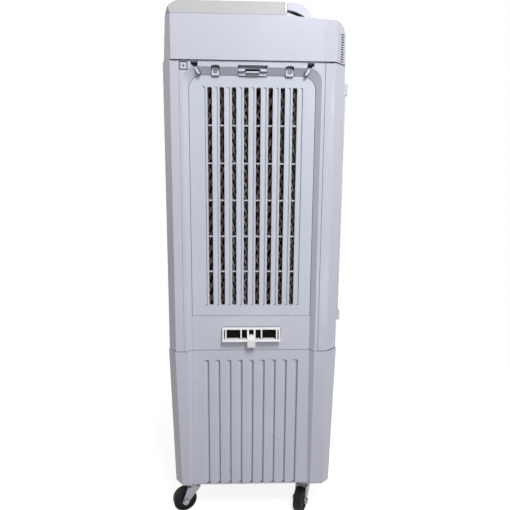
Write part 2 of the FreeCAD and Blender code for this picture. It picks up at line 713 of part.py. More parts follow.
def make_water_tank():
    body = new_body("water_tank")
    foot = s.tank_underside
    none = as_size(0)
    # the foot is rounded in two steps
    low_step = foot + s.tank_foot_bevel * FOOT_STEP
    upright = foot + s.tank_foot_bevel
    outer = [
        (foot, tank_outline(foot, s.tank_foot_bevel, none, none)),
        (low_step, tank_outline(low_step, s.tank_foot_bevel * FOOT_STEP, none, none)),
        (upright, tank_outline(upright, none, none, none)),
        (seam, tank_outline(seam, none, none, none)),
    ]
    loft(body, "XY", outer)
    for x in (-s.castor_rear_x, s.castor_front_x):
        for y in (-s.castor_y, s.castor_y):
            half = s.castor_plate_side / 2 + 1
            pad(body, "XY", foot - s.foot_pad_height, foot + 1,
                rectangle(x - half, x + half, y - half, y + half))
    bed = foot + s.tank_floor
    shoulder = bed + s.tank_foot_bevel
    inner = [
        (bed, tank_outline(bed, s.tank_foot_bevel, s.tank_wall, s.flute_depth)),
        (shoulder, tank_outline(shoulder, none, s.tank_wall, s.flute_depth)),
        (seam, tank_outline(seam, none, s.tank_wall, s.flute_depth)),
    ]
    loft(body, "XY", inner, cut=True)
    steps = scoop_steps(foot + s.flute_foot, seam - s.flute_head, s.flute_corner)
    flute = loft(body, "XY", [(level, flute_outline(level, back)) for level, back in steps], cut=True)
    along = body.newObject("PartDesign::LinearPattern", "Row")
    along.Direction = (origin_part(body, "X_Axis"), [""])
    bind(along, "Length", s.flute_pitch * (s.flute_count - 1))
    bind(along, "Occurrences", s.flute_count)
    across = body.newObject("PartDesign::Mirrored", "Mirror")
    across.MirrorPlane = (origin_part(body, "XZ_Plane"), [""])
    both = body.newObject("PartDesign::MultiTransform", "Flutes")
    both.Originals = [flute]
    both.Transformations = [along, across]
    body.Tip = both
    wall_end = s.tank_draft + s.tank_wall * 4 - s.rear_reach
    inlet_hole = s.inlet_radius + s.inlet_hole_gap
    outside = -s.rear_reach - s.tank_overhang
    pocket(body, "YZ", outside, wall_end, disc(-s.valve_y, seam - s.valve_drop, inlet_hole))
    pocket(body, "YZ", outside, wall_end, disc(0, foot + s.drain_rise, s.drain_radius))
    return keep(body)


# ---------------------------------------------------------------- casing with its pad openings
# The three pad openings are drawn alike, looking at the face: X across, Z up and Y into the casing,
# with Y = 0 on the casing's face. turn_to then stands each piece at its own face.

FACES = {
    "right": (0, -half_width, 0),
    "left": (0, half_width, 180),
    "rear": (-s.rear_reach, 0, -90),
}


def turn_to(face, piece):
    across, along, angle = FACES[face]
    return place(piece, across, along, 0, angle=angle)


def opening(face):
    """Sizes of the pad opening in a face."""
    rear = face == "rear"
    columns = s.rear_columns if rear else s.slot_columns
    slots_half = s.flute_pitch * (columns - 1) / 2 + s.slot_width / 2
    return SimpleNamespace(
        half=s.rear_frame_width / 2 if rear else channel_half,
        depth=s.rear_channel_depth if rear else s.channel_depth,
        columns=columns,
        slots_half=slots_half,
        pad_half=slots_half + s.pad_margin,
        ear_x=(s.rear_ear_spacing if rear else s.ear_spacing) / 2,
    )


pad_foot = slot_bottom - s.pad_overlap
pad_top = slot_top + s.pad_overlap
ear_z = frame_top + s.ear_rise
ear_top = ear_z + s.screw_seat_radius + s.ear_rim
catch_foot = frame_top - s.catch_hold
catch_top = catch_foot + s.catch_height
catch_slot_foot = catch_foot + s.catch_lip_rise + s.catch_lip_height
catch_slot_top = catch_top - s.catch_slot_margin


def crowned(middle, half, foot, top, crown):
    """A rectangle with a shallow arch on top."""
    radius = (half * half + crown * crown) / (2 * crown)
    shoulder = top - crown
    return poly([(middle - half, foot), (middle + half, foot),
                 (middle + half, shoulder), (middle - half, shoulder)], {2: radius})


def cut_pad_opening(body, face):
    """Recess, thick header, collar, ledge and pockets round one pad opening."""
    o = opening(face)
    wall = s.casing_wall
    closed_foot = frame_foot - s.frame_gap
    grow = wall * MITRE
    mouth_grow = wall * (MITRE + 1)
    slope = o.depth
    rise = s.channel_top_rise * o.depth / s.channel_depth
    if face == "rear":
        foot_in, foot_out = closed_foot, closed_foot - slope
        shell_in, shell_out = closed_foot - grow, closed_foot - slope - mouth_grow
    else:
        foot_in = foot_out = casing_foot - wall
        shell_in = shell_out = casing_foot
    shell = [
        (0, arch(o.half + slope + mouth_grow, shell_out, frame_top + rise + mouth_grow,
                 s.mouth_arch + mouth_grow)),
        (o.depth + wall, arch(o.half + grow, shell_in, frame_top + grow, s.channel_arch + grow)),
    ]
    loft(body, "XZ", shell)
    header_foot = frame_top - 1
    pad(body, "XZ", 1, o.depth + wall,
        rectangle(-s.header_half_width, s.header_half_width, header_foot, header_foot + s.header_height))
    if face == "rear":
        for side in (-1, 1):
            middle = side * o.ear_x
            pad(body, "XZ", 1, o.depth + wall,
                rectangle(middle - s.ear_width, middle + s.ear_width,
                          header_foot, header_foot + s.header_height))
    hollow = [
        (0, arch(o.half + slope, foot_out, frame_top + rise, s.mouth_arch)),
        (o.depth, arch(o.half, foot_in, frame_top, s.channel_arch)),
    ]
    loft(body, "XZ", hollow, cut=True)
    frame_back = o.depth + s.frame_thickness
    collar_back = frame_back + s.seat_gap + s.flange_thickness
    pad(body, "XZ", o.depth + 0.5, collar_back,
        arch(o.half + s.collar_wall, closed_foot - s.collar_wall, frame_top + s.collar_wall,
             s.channel_arch + s.collar_wall))
    pocket(body, "XZ", o.depth - 1, frame_back + s.seat_gap,
           arch(o.half, closed_foot, frame_top, s.channel_arch))
    through_half = o.pad_half + s.pad_play
    through = rectangle(-through_half, through_half, pad_foot - s.pad_play, pad_top + s.pad_play)
    pocket(body, "XZ", frame_back - 1, collar_back + 1, through)
    pocket_top = frame_top + s.pocket_rise
    pocket_foot = frame_top - s.ear_root
    ear_half = s.ear_width / 2 + s.ear_pocket_play
    for side in (-1, 1):
        middle = side * o.ear_x
        pocket(body, "XZ", -1, o.depth, crowned(middle, ear_half, pocket_foot, pocket_top, s.pocket_crown))
        pocket(body, "XZ", o.depth - 1, o.depth + wall + 1,
               disc(middle, ear_z, s.screw_radius + s.screw_hole_gap))
    catch_half = s.catch_half_width + s.catch_play
    pocket(body, "XZ", -1, o.depth, rectangle(-catch_half, catch_half, pocket_foot, pocket_top))
    pocket(body, "XZ", o.depth - 1, o.depth + wall + 1,
           rectangle(-s.catch_lip_half, s.catch_lip_half, catch_slot_foot, catch_slot_top))


def make_side_panel(face):
    body = new_body(f"side_panel_{face}")
    pad(body, "XZ", 0, s.casing_wall, rectangle(-panel_half, panel_half, casing_foot, casing_top))
    cut_pad_opening(body, face)
    foot = frame_top + s.corner_pocket_rise
    through = s.channel_depth + s.casing_wall
    for side in (-1, 1):
        near = side * s.corner_pocket_start
        far = side * (s.corner_pocket_start + s.corner_pocket_width)
        low, high = (near, far) if side > 0 else (far, near)
        pocket(body, "XZ", -1, through + 1, rectangle(low, high, foot, foot + s.corner_pocket_height))
        latch = poly([(far, foot - 1), (far, foot + s.pocket_latch),
                      (far - side * s.pocket_latch, foot), (far - side * s.pocket_latch, foot - 1)])
        pad(body, "XZ", s.pocket_latch_setback, s.casing_wall, latch)
        inner = side * s.brace_inner
        outer = side * (s.brace_inner + s.brace_width)
        shift = side * s.brace_shift
        top = frame_top + s.channel_top_rise
        pad(body, "XZ", s.brace_setback, s.channel_depth,
            poly([(inner, frame_top), (outer, frame_top), (outer + shift, top), (inner + shift, top)]))
    rear_side = -1 if face == "right" else 1
    half = s.cover_square / 2
    inner = half - s.cover_groove
    x = rear_side * (panel_half - half - s.seam_gap)
    z = frame_top + s.cover_rise
    square = rectangle(x - half, x + half, z - half, z + half)
    pocket(body, "XZ", 0, s.cover_groove, square, rectangle(x - inner, x + inner, z - inner, z + inner))
    pocket(body, "XZ", 0, s.cover_groove, disc(x, z, s.screw_radius))
    if face == "right":
        box_half = s.drawer_width / 2 - s.drawer_rebate + s.drawer_play
        foot = seam + s.drawer_rise + s.drawer_rebate / 2 - s.drawer_play
        top = seam + s.drawer_rise + s.drawer_height - s.drawer_rebate / 2 + s.drawer_play
        pocket(body, "XZ", s.channel_depth - 1, s.channel_depth + s.casing_wall + 1,
               rectangle(-box_half, box_half, foot, top))
    return keep(turn_to(face, body))


def make_rear_housing():
    body = new_body("rear_housing")
    wall = s.casing_wall
    flat = half_width - s.rear_corner_width
    reach = s.rear_reach - (s.panel_width + s.seam_gap) / 2
    inner_flat = flat - wall * MITRE
    inner_depth = s.rear_corner_depth + wall * MITRE
    inner = half_width - wall
    outline = [
        (-half_width, reach), (-half_width, s.rear_corner_depth), (-flat, 0), (flat, 0),
        (half_width, s.rear_corner_depth), (half_width, reach), (inner, reach),
        (inner, inner_depth), (inner_flat, wall), (-inner_flat, wall), (-inner, inner_depth), (-inner, reach),
    ]
    pad(body, "XY", casing_foot, casing_top, poly(outline))
    cut_pad_opening(body, "rear")
    gland = disc(-s.gland_y, seam + s.gland_rise, s.gland_neck_radius + s.screw_hole_gap)
    pocket(body, "XZ", -1, wall + 1, gland)
    return keep(turn_to("rear", body))


def make_pad_frame(face):
    o = opening(face)
    body = new_body(f"pad_frame_{face}")
    front = o.depth
    back = o.depth + s.frame_thickness
    half = o.half - s.frame_gap
    top = frame_top - s.frame_gap
    pad(body, "XZ", front, back, arch(half, frame_foot, top, s.channel_arch - s.frame_gap))
    first = -s.flute_pitch * (o.columns - 1) / 2
    left, right = first - s.slot_width / 2, first + s.slot_width / 2
    r = s.slot_corner
    outline = poly([(left + r, slot_bottom), (right - r, slot_bottom),
                    (right, slot_bottom + r), (right, slot_top - r),
                    (right - r, slot_top), (left + r, slot_top),
                    (left, slot_top - r), (left, slot_bottom + r)],
                   {1: r, 3: r, 5: r, 7: r})
    slot = pocket(body, "XZ", front - 1, back + 1, outline)
    row(body, [slot], "X", s.flute_pitch, o.columns)
    row_pitch = (slot_top - slot_bottom + s.bar_height) / s.slot_rows
    bar_foot = slot_bottom + row_pitch - s.bar_height
    bar = pad(body, "XZ", front + s.bar_setback, front + s.bar_setback + s.bar_thickness,
              rectangle(-o.slots_half - 1, o.slots_half + 1, bar_foot, bar_foot + s.bar_height))
    row(body, [bar], "Z", row_pitch, s.slot_rows - 1)
    left = first - (s.flute_pitch + s.rib_groove_width) / 2
    groove = []
    for level, back_cut in scoop_steps(slot_bottom, slot_top, s.rib_groove_corner):
        groove.append((level, scoop_outline(left, front, s.rib_groove_width, s.rib_groove_depth,
                                            s.rib_groove_wall, back_cut)))
    rib = loft(body, "XY", groove, cut=True)
    row(body, [rib], "X", s.flute_pitch, o.columns + 1)
    ear_back = front - s.seat_gap
    ear_front = ear_back - s.ear_thickness
    ear_half = s.ear_width / 2
    for side in (-1, 1):
        middle = side * o.ear_x
        root = frame_top - s.ear_root
        pad(body, "XZ", ear_front, ear_back, crowned(middle, ear_half, root, ear_top, s.ear_crown))
        pad(body, "XZ", ear_back - 1, front + 1, rectangle(middle - ear_half, middle + ear_half, root, top))
        hole = disc(middle, ear_z, s.screw_radius + s.screw_hole_gap)
        pocket(body, "XZ", ear_front - 1, front + 1, hole)
        pocket(body, "XZ", ear_front - 1, ear_front + s.screw_seat_depth,
               disc(middle, ear_z, s.screw_seat_radius))
    return keep(turn_to(face, body))


def make_cooling_pad(face):
    o = opening(face)
    body = new_body(f"cooling_pad_{face}")
    front = o.depth + s.frame_thickness + s.seat_gap
    pad(body, "XZ", front, front + s.pad_thickness, rectangle(-o.pad_half, o.pad_half, pad_foot, pad_top))
    return keep(turn_to(face, body))


def make_frame_screws(face):
    o = opening(face)
    seat = o.depth - s.seat_gap - s.ear_thickness + s.screw_seat_depth
    screws = []
    for side in (-1, 1):
        head = rod("Y", side * o.ear_x, ear_z, seat - s.screw_head_height, seat, s.screw_head_radius)
        shank = rod("Y", side * o.ear_x, ear_z, seat - 1, o.depth + s.casing_wall - 0.5, s.screw_radius)
        screws += [head, shank]
    return keep(turn_to(face, merge(f"frame_screws_{face}", screws)))


def make_frame_catch(face):
    """A plate with a finger lip between two raised blocks. Its foot lies over the frame's top edge."""
    o = opening(face)
    body = new_body(f"frame_catch_{face}")
    back = o.depth - s.seat_gap
    front = back - s.catch_thickness
    wide = s.catch_half_width
    pad(body, "XZ", front, back, rectangle(-wide, wide, catch_foot, catch_top))
    half = s.catch_lip_half
    lip_foot = catch_foot + s.catch_lip_rise
    lip = rectangle(-half, half, lip_foot, lip_foot + s.catch_lip_height)
    pad(body, "XZ", front - s.catch_lip_depth, front + 1, lip)
    block = wide - s.catch_block_width
    block_foot = catch_top - s.catch_block_height
    pad(body, "XZ", front - s.catch_block_depth, front + 1,
        rectangle(-wide, -block, block_foot, catch_top), rectangle(block, wide, block_foot, catch_top))
    pocket(body, "XZ", front - 1, back + 1, rectangle(-half, half, catch_slot_foot, catch_slot_top))
    return keep(turn_to(face, body))


def make_front_housing():
    body = new_body("front_housing")
    wall = s.casing_wall
    rear = (s.panel_width + s.seam_gap) / 2
    corner_x = s.front_reach - s.front_corner_depth
    corner_y = half_width - s.front_corner_width
    x_in = s.front_reach - wall
    y_in = half_width - wall
    inner_x = corner_x - wall * MITRE
    inner_y = corner_y - wall * MITRE
    outline = [
        (rear, -half_width), (corner_x, -half_width), (s.front_reach, -corner_y), (s.front_reach, corner_y),
        (corner_x, half_width), (rear, half_width), (rear, y_in), (inner_x, y_in),
        (x_in, inner_y), (x_in, -inner_y), (inner_x, -y_in), (rear, -y_in),
    ]
    pad(body, "XY", casing_foot, casing_top, poly(outline))
    half = s.outlet_width / 2
    foot = seam + s.outlet_rise
    top = foot + s.outlet_height
    duct_rear = s.front_reach - wall - s.duct_depth
    pad(body, "YZ", duct_rear, x_in + 1,
        rectangle(-half - wall, half + wall, foot - wall, top + wall), rectangle(-half, half, foot, top))
    pocket(body, "YZ", x_in - 1, s.front_reach + 1, rectangle(-half, half, foot, top))
    return keep(body)


# ---------------------------------------------------------------- air outlet

outlet_foot = seam + s.outlet_rise
outlet_top = outlet_foot + s.outlet_height
outlet_half = s.outlet_width / 2
tube_half = outlet_half - s.bezel_gap
tube_foot = outlet_foot + s.bezel_gap
tube_top = outlet_top - s.bezel_gap
inside_half = tube_half - s.bezel_wall
inside_foot = tube_foot + s.bezel_wall
inside_top = tube_top - s.bezel_wall
louver_x = s.front_reach - s.louver_setback
louver_pitch = (inside_top - inside_foot) / s.louver_count
louver_half = inside_half - s.louver_end_gap
vane_x = s.front_reach - s.vane_setback
vane_foot = inside_foot + s.vane_end_gap
vane_top = inside_top - s.vane_end_gap
LOUVERS = int(s.louver_count.value)
VANES = 4


def louver_z(number):
    return inside_foot + louver_pitch * (number + 0.5)


def vane_y(number):
    return s.vane_pitch * (number - (VANES - 1) / 2)


def make_outlet_bezel():
    body = new_body("outlet_bezel")
    rear = s.front_reach - s.casing_wall - s.duct_depth + 1
    face = s.front_reach + s.seat_gap
    front = face + s.bezel_thickness
    flange_half = outlet_half + s.bezel_flange
    flange_foot = outlet_foot - s.bezel_flange + 1
    flange_top = outlet_top + s.bezel_flange - 1
    pad(body, "YZ", face, front, rectangle(-flange_half, flange_half, flange_foot, flange_top))
    pad(body, "YZ", front - 1, front + s.bezel_lug,
        rectangle(-flange_half, flange_half, flange_foot, flange_foot + s.bezel_lug_height),
        rectangle(-flange_half, flange_half, flange_top - s.bezel_lug_height, flange_top))
    pad(body, "YZ", rear, face + 1, rectangle(-tube_half, tube_half, tube_foot, tube_top))
    pocket(body, "YZ", rear - 1, front + s.bezel_lug + 1,
           rectangle(-inside_half, inside_half, inside_foot, inside_top))
    hole = s.pivot_radius + s.pin_gap
    row_z = pocket(body, "XZ", -tube_half - 1, tube_half + 1, disc(louver_x, louver_z(0), hole))
    row(body, [row_z], "Z", louver_pitch, s.louver_count)
    row_y = pocket(body, "XY", tube_foot - 1, tube_top + 1, disc(vane_x, vane_y(0), hole))
    row(body, [row_y], "Y", s.vane_pitch, as_size(VANES))
    return keep(body)


def blade_section(chord, edge, swell):
    """A thin lens with blunt ends, centred on its pivot."""
    half = chord / 2
    rise = edge / 2
    radius = (half * half + swell * swell) / (2 * swell)
    return poly([(half, -rise), (half, rise), (-half, rise), (-half, -rise)], {1: radius, 3: radius})


def make_louver(number):
    body = new_body(f"louver_{number + 1}")
    pad(body, "XZ", -louver_half, louver_half, blade_section(s.louver_chord, s.louver_edge, s.louver_swell))
    reach = inside_half + s.bezel_wall - s.pin_gap
    pad(body, "XZ", -reach, reach, disc(0, 0, s.pivot_radius))
    crank_end = louver_half + s.link_gap + s.link_thickness + s.link_gap
    pad(body, "XZ", louver_half - 1, crank_end, disc(-s.louver_crank, 0, s.crank_radius))
    return keep(place(body, louver_x, 0, louver_z(number)))


def make_vane(number):
    body = new_body(f"vane_{number + 1}")
    pad(body, "XY", vane_foot, vane_top, blade_section(s.vane_chord, s.vane_edge, s.vane_swell))
    reach = s.bezel_wall - s.pin_gap
    pad(body, "XY", inside_foot - reach, inside_top + reach, disc(0, 0, s.pivot_radius))
    crank_end = vane_foot - s.link_gap - s.link_thickness - s.link_gap
    pad(body, "XY", crank_end, vane_foot + 1, disc(-s.vane_crank, 0, s.crank_radius))
    return keep(place(body, vane_x, vane_y(number)))


def make_louver_link():
    body = new_body("louver_link")
    near = louver_half + s.link_gap
    x = louver_x - s.louver_crank
    half = s.link_width / 2
    last = LOUVERS - 1
    pad(body, "XZ", near, near + s.link_thickness,
        rectangle(x - half, x + half, louver_z(0) - s.link_overrun, louver_z(last) + s.link_overrun))
    hole = pocket(body, "XZ", near - 1, near + s.link_thickness + 1,
                  disc(x, louver_z(0), s.crank_radius + s.crank_gap))
    row(body, [hole], "Z", louver_pitch, s.louver_count)
    return keep(body)


def make_vane_link():
    body = new_body("vane_link")
    top = vane_foot - s.link_gap
    x = vane_x - s.vane_crank
    half = s.link_width / 2
    pad(body, "XY", top - s.link_thickness, top,
        rectangle(x - half, x + half, vane_y(0) - s.link_overrun, vane_y(VANES - 1) + s.link_overrun))
    hole = pocket(body, "XY", top - s.link_thickness - 1, top + 1,
                  disc(x, vane_y(0), s.crank_radius + s.crank_gap))
    row(body, [hole], "Y", s.vane_pitch, as_size(VANES))
    return keep(body)


# ---------------------------------------------------------------- fan

fan_z = (outlet_foot + outlet_top) / 2
duct_rear = s.front_reach - s.casing_wall - s.duct_depth
plate_front = duct_rear - s.seam_gap
plate_rear = plate_front - s.shroud_wall
ring_rear = plate_front - s.fan_ring_depth
ring_inner = s.fan_radius + s.fan_tip_gap
motor_front = ring_rear + s.motor_seat
hub_rear = motor_front + s.hub_gap


def make_fan_shroud():
    body = new_body("fan_shroud")
    half = outlet_half + s.casing_wall
    pad(body, "YZ", plate_rear, plate_front,
        rectangle(-half, half, outlet_foot - s.casing_wall, outlet_top + s.casing_wall))
    pad(body, "YZ", ring_rear, plate_front, disc(0, fan_z, ring_inner + s.shroud_wall))
    pocket(body, "YZ", ring_rear - 1, plate_front + 1, disc(0, fan_z, ring_inner))
    return keep(body)


def make_motor_bracket():
    """A ring round the motor on a cross of struts that ends on the shroud's rear rim."""
    body = new_body("motor_bracket")
    seat = s.motor_radius + s.seat_gap
    hub_ring = seat + s.motor_ring_wall
    strut_half = s.strut_width / 2
    reach = ring_inner + s.shroud_wall
    rear = ring_rear - s.strut_depth
    pad(body, "YZ", rear, ring_rear, rectangle(-reach, reach, fan_z - strut_half, fan_z + strut_half))
    pad(body, "YZ", rear, ring_rear, rectangle(-strut_half, strut_half, fan_z - reach, fan_z + reach))
    pad(body, "YZ", rear, motor_front, disc(0, fan_z, hub_ring))
    pocket(body, "YZ", rear - 1, motor_front + 1, disc(0, fan_z, seat))
    return keep(body)


def make_fan_motor():
    body = new_body("fan_motor")
    pad(body, "YZ", motor_front - s.motor_length, motor_front, disc(0, 0, s.motor_radius))
    pad(body, "YZ", motor_front - 1, motor_front + s.shaft_length, disc(0, 0, s.shaft_radius))
    return keep(place(body, up=fan_z))


def make_fan_blades():
    body = new_body("fan_blades")
    middle = hub_rear + s.hub_length / 2
    pad(body, "YZ", -s.hub_length / 2, s.hub_length / 2, disc(0, 0, s.hub_radius))

    def section(pitch):
        """A flat blade section in the plane across the blade, turned to its pitch."""
        half = s.blade_chord / 2
        thick = s.blade_thickness / 2
        along_x, along_y = sine(pitch), cosine(pitch)
        corners = []
        for chord_side, thick_side in ((-1, -1), (1, -1), (1, 1), (-1, 1)):
            chord_part = half * chord_side
            thick_part = thick * thick_side
            corners.append((along_x * chord_part - along_y * thick_part,
                            along_y * chord_part + along_x * thick_part))
        return poly(corners[::-1])

    root = s.hub_radius - s.blade_thickness * 4
    sections = [(root, section(s.blade_root_pitch)), (s.fan_radius, section(s.blade_tip_pitch))]
    blade = loft(body, "XY", sections)
    wheel = body.newObject("PartDesign::PolarPattern", "Blades")
    wheel.Originals = [blade]
    wheel.Axis = (origin_part(body, "X_Axis"), [""])
    wheel.Angle = 360
    bind(wheel, "Occurrences", s.blade_count)
    body.Tip = wheel
    pocket(body, "YZ", -s.hub_length, s.hub_length, disc(0, 0, s.shaft_radius + s.pin_gap))
    trim = s.fan_radius * 2
    rim = s.fan_radius
    pocket(body, "YZ", -s.hub_length * 2, s.hub_length * 2, disc(0, 0, trim), disc(0, 0, rim))
    return keep(place(body, middle, 0, fan_z))


# ---------------------------------------------------------------- top housing, lid and ice tray

head_x = s.front_reach - s.head_front_inset
head_y = half_width + s.head_side_overhang
head_rear = s.rear_reach - s.head_rear_inset
lid_rear = head_rear - s.head_rear_lean
slope_start = s.deck_break - s.rear_reach
nose_x = head_x - s.head_front_lean
slope_end = nose_x - s.front_round
slope_end_z = deck - s.front_fall
round_end_z = slope_end_z - s.front_round_fall
lid_top = deck + s.lid_height
bridge_front = slope_start + s.bridge_width
hinge_x = s.hinge_setback - lid_rear
hinge_z = deck + s.hinge_height
hood_rear = bridge_front + s.hood_gap
hood_axis_x = hood_rear + s.hood_hinge_radius
hood_axis_z = lid_top - s.hood_hinge_radius


def head_outline(wall, front, rear_lean=0, front_lean=0):
    """Plan of the top housing up to a front limit. No limit gives the flat front corners.

    The leans move the inside clear of the leaning outer faces.
    """
    x_out = head_rear - wall - rear_lean
    y_out = head_y - wall
    rear_x = x_out - s.rear_corner_depth + wall * MITRE
    rear_y = y_out - s.rear_corner_width + wall * MITRE
    rear = [(-rear_x, y_out), (-x_out, rear_y), (-x_out, -rear_y), (-rear_x, -y_out)]
    if front is not None:
        return poly(rear + [(front, -y_out), (front, y_out)])
    front_out = head_x - wall - front_lean
    front_x = front_out - s.front_corner_depth + wall * MITRE
    front_y = y_out - s.front_corner_width + wall * MITRE
    return poly(rear + [(front_x, -y_out), (front_out, -front_y), (front_out, front_y), (front_x, y_out)])


def pin_pair(body, middle, x, z, half, pin_radius, reach):
    """Two pins on one axis, out of both sides of a block that is half thick."""
    pad(body, "XZ", middle - half - reach, middle + half + reach, disc(x, z, pin_radius))


def make_top_housing():
    body = new_body("top_housing")
    pad(body, "XY", roof, deck, head_outline(as_size(0), None))
    lean = poly([(-head_rear, roof), (-lid_rear, deck), (-lid_rear, deck + 1),
                 (-head_rear - 1, deck + 1), (-head_rear - 1, roof)])
    pocket(body, "XZ", -head_y, head_y, lean)
    nose = poly([(slope_start, deck), (slope_end, slope_end_z), (nose_x, round_end_z), (head_x, roof),
                 (head_x + 5, roof), (head_x + 5, deck + 5), (slope_start, deck + 5)],
                {1: -s.front_round_radius})
    pocket(body, "XZ", -head_y - 1, head_y + 1, nose)
    wall = s.deck_wall
    low = round_end_z - wall
    pocket(body, "XY", roof - 1, low, head_outline(wall, None, s.head_rear_lean, s.head_front_lean))
    pocket(body, "XY", low - 1, deck - wall, head_outline(wall, slope_start, s.head_rear_lean))
    cheek = head_y - wall
    narrow = head_y - s.front_corner_width - wall
    side_end = nose_x - s.front_corner_depth - wall
    side_z = deck - wall - s.front_fall * (side_end - slope_start) / (slope_end - slope_start)
    pocket(body, "XZ", -cheek, cheek,
           poly([(slope_start - 1, low - 1), (side_end, low - 1), (side_end, side_z),
                 (slope_start, deck - wall), (slope_start - 1, deck - wall)]))
    nose_inner = poly([(side_end - 1, low - 1), (nose_x - wall, low - 1), (nose_x - wall, low),
                       (slope_end - wall, slope_end_z - wall), (side_end - 1, side_z)],
                      {2: s.front_round_radius + s.deck_wall})
    pocket(body, "XZ", -narrow, narrow, nose_inner)
    tray_half = s.tray_width / 2 + s.tray_play
    pocket(body, "XY", deck - wall - 1, deck + 1,
           rectangle(-s.tray_rear - s.tray_play, s.tray_front + s.tray_play, -tray_half, tray_half))
    top_half = head_y - s.lid_side_slope
    bar_top = lid_top - s.lid_gap
    pad(body, "YZ", slope_start, bridge_front,
        poly([(-head_y, deck - 2), (head_y, deck - 2), (head_y, deck), (top_half, bar_top),
              (-top_half, bar_top), (-head_y, deck)]))
    ear_half = s.hinge_ear_width / 2
    ear_shift = s.barrel_length / 2 + s.hinge_ear_gap + ear_half
    for side in (-1, 1):
        for end in (-1, 1):
            middle = side * s.hinge_offset + end * ear_shift
            r = s.barrel_radius
            ear = poly([(hinge_x - r, deck - 1), (hinge_x + r, deck - 1), (hinge_x + r, hinge_z),
                        (hinge_x - r, hinge_z)], {2: r * 1.001})
            pad(body, "XZ", middle - ear_half, middle + ear_half, ear)
            inward = middle - end * (ear_half + s.hinge_pin_reach)
            first, last = (inward, middle) if end > 0 else (middle, inward)
            pad(body, "XZ", first, last, disc(hinge_x, hinge_z, s.hinge_pin_radius))
    for side in (-1, 1):
        middle = side * s.hood_hinge_offset
        half = s.barrel_radius + 1
        pad(body, "XZ", middle - half, middle + half,
            rectangle(bridge_front - 1, hood_axis_x,
                      hood_axis_z - s.hood_knuckle, hood_axis_z + s.hood_knuckle))
        pad(body, "XZ", middle - half, middle + half, disc(hood_axis_x, hood_axis_z, s.hood_knuckle))
        pin_pair(body, middle, hood_axis_x, hood_axis_z, half, s.hinge_pin_radius, s.hinge_pin_reach)
    slot_foot = roof + s.vent_foot
    for side in (-1, 1):
        near = side * (head_y - s.vent_reach)
        far = side * (head_y + 1)
        low_y, high_y = (near, far) if side > 0 else (far, near)
        slot = pocket(body, "XZ", low_y, high_y,
                      rectangle(head_x - s.vent_length, head_x + 2, slot_foot, slot_foot + s.vent_height))
        row(body, [slot], "Z", s.vent_pitch, s.vent_count)
        face_y = side * head_y
        dot_x = head_x - s.vent_length - s.dot_radius * 6
        floor_y = side * (head_y - s.dot_depth)
        first, last = (floor_y, face_y + 1) if side > 0 else (face_y - 1, floor_y)
        dot = pocket(body, "XZ", first, last, disc(dot_x, slot_foot + s.vent_height / 2, s.dot_radius))
        row(body, [dot], "Z", s.vent_pitch, s.vent_count)
    return keep(body)


def make_top_lid():
    body = new_body("top_lid")
    rear = s.lid_gap - lid_rear
    front = slope_start - s.lid_gap
    foot = deck + s.lid_gap
    wide = head_y - s.lid_gap
    narrow = head_y - s.lid_side_slope
    rise = lid_top - foot
    radius = s.lid_rear_radius
    # the round is a little taller than the lid, so it has already begun at the lid's foot
    start_x = rear + radius - square_root(radius * radius - (radius - rise) * (radius - rise))
    side = poly([(start_x, foot), (front, foot), (front, lid_top), (rear + radius, lid_top)], {3: radius})
    pad(body, "XZ", -wide, wide, side)
    for hand in (-1, 1):
        flat = [(hand * (wide + 5), foot - 1), (hand * wide, foot), (hand * narrow, lid_top),
                (hand * narrow, lid_top + 5), (hand * (wide + 5), lid_top + 5)]
        pocket(body, "YZ", -head_x - 1, head_x, poly(flat if hand < 0 else flat[::-1]))
        corner_x = s.rear_corner_depth - head_rear
        corner_y = hand * (head_y - s.rear_corner_width)
        edge_y = hand * head_y
        flat = [(-head_rear, corner_y), (corner_x, edge_y), (corner_x, hand * (head_y + 5)),
                (-head_rear - 5, hand * (head_y + 5)), (-head_rear - 5, corner_y)]
        pocket(body, "XY", foot - 1, lid_top + 1, poly(flat if hand > 0 else flat[::-1]))
    wall = s.lid_wall
    ceiling = lid_top - wall
    inner_wide = wide - wall * 2
    inner_narrow = narrow - wall
    low_x = rear + wall * 2
    high_x = rear + radius
    corner = s.rear_corner_width
    hollow = []
    for level, x, y, cut in ((foot, low_x, inner_wide, corner), (ceiling, high_x, inner_narrow, wall * 2)):
        hollow.append((level, poly([(x + cut, -y), (front - wall, -y), (front - wall, y),
                                    (x + cut, y), (x, y - cut), (x, cut - y)])))
    loft(body, "XY", hollow, cut=True)
    pocket(body, "XY", foot - 1, foot + wall / 2, rectangle(rear - 1, hinge_x, -head_y, head_y))
    half = s.barrel_length / 2
    notch_half = s.hinge_ear_width / 2 + s.hinge_ear_gap
    r = s.barrel_radius
    for hand in (-1, 1):
        middle = hand * s.hinge_offset
        pad(body, "XZ", middle - half, middle + half, disc(hinge_x, hinge_z, r))
        pocket(body, "XZ", middle - half - 1, middle + half + 1,
               disc(hinge_x, hinge_z, s.hinge_pin_radius + s.pin_gap))
        for end in (-1, 1):
            ear = middle + end * (half + notch_half)
            pocket(body, "XZ", ear - notch_half, ear + notch_half,
                   rectangle(-head_x - 1, hinge_x + r + 1, foot - 1, hinge_z + r + 1))
    return keep(body)


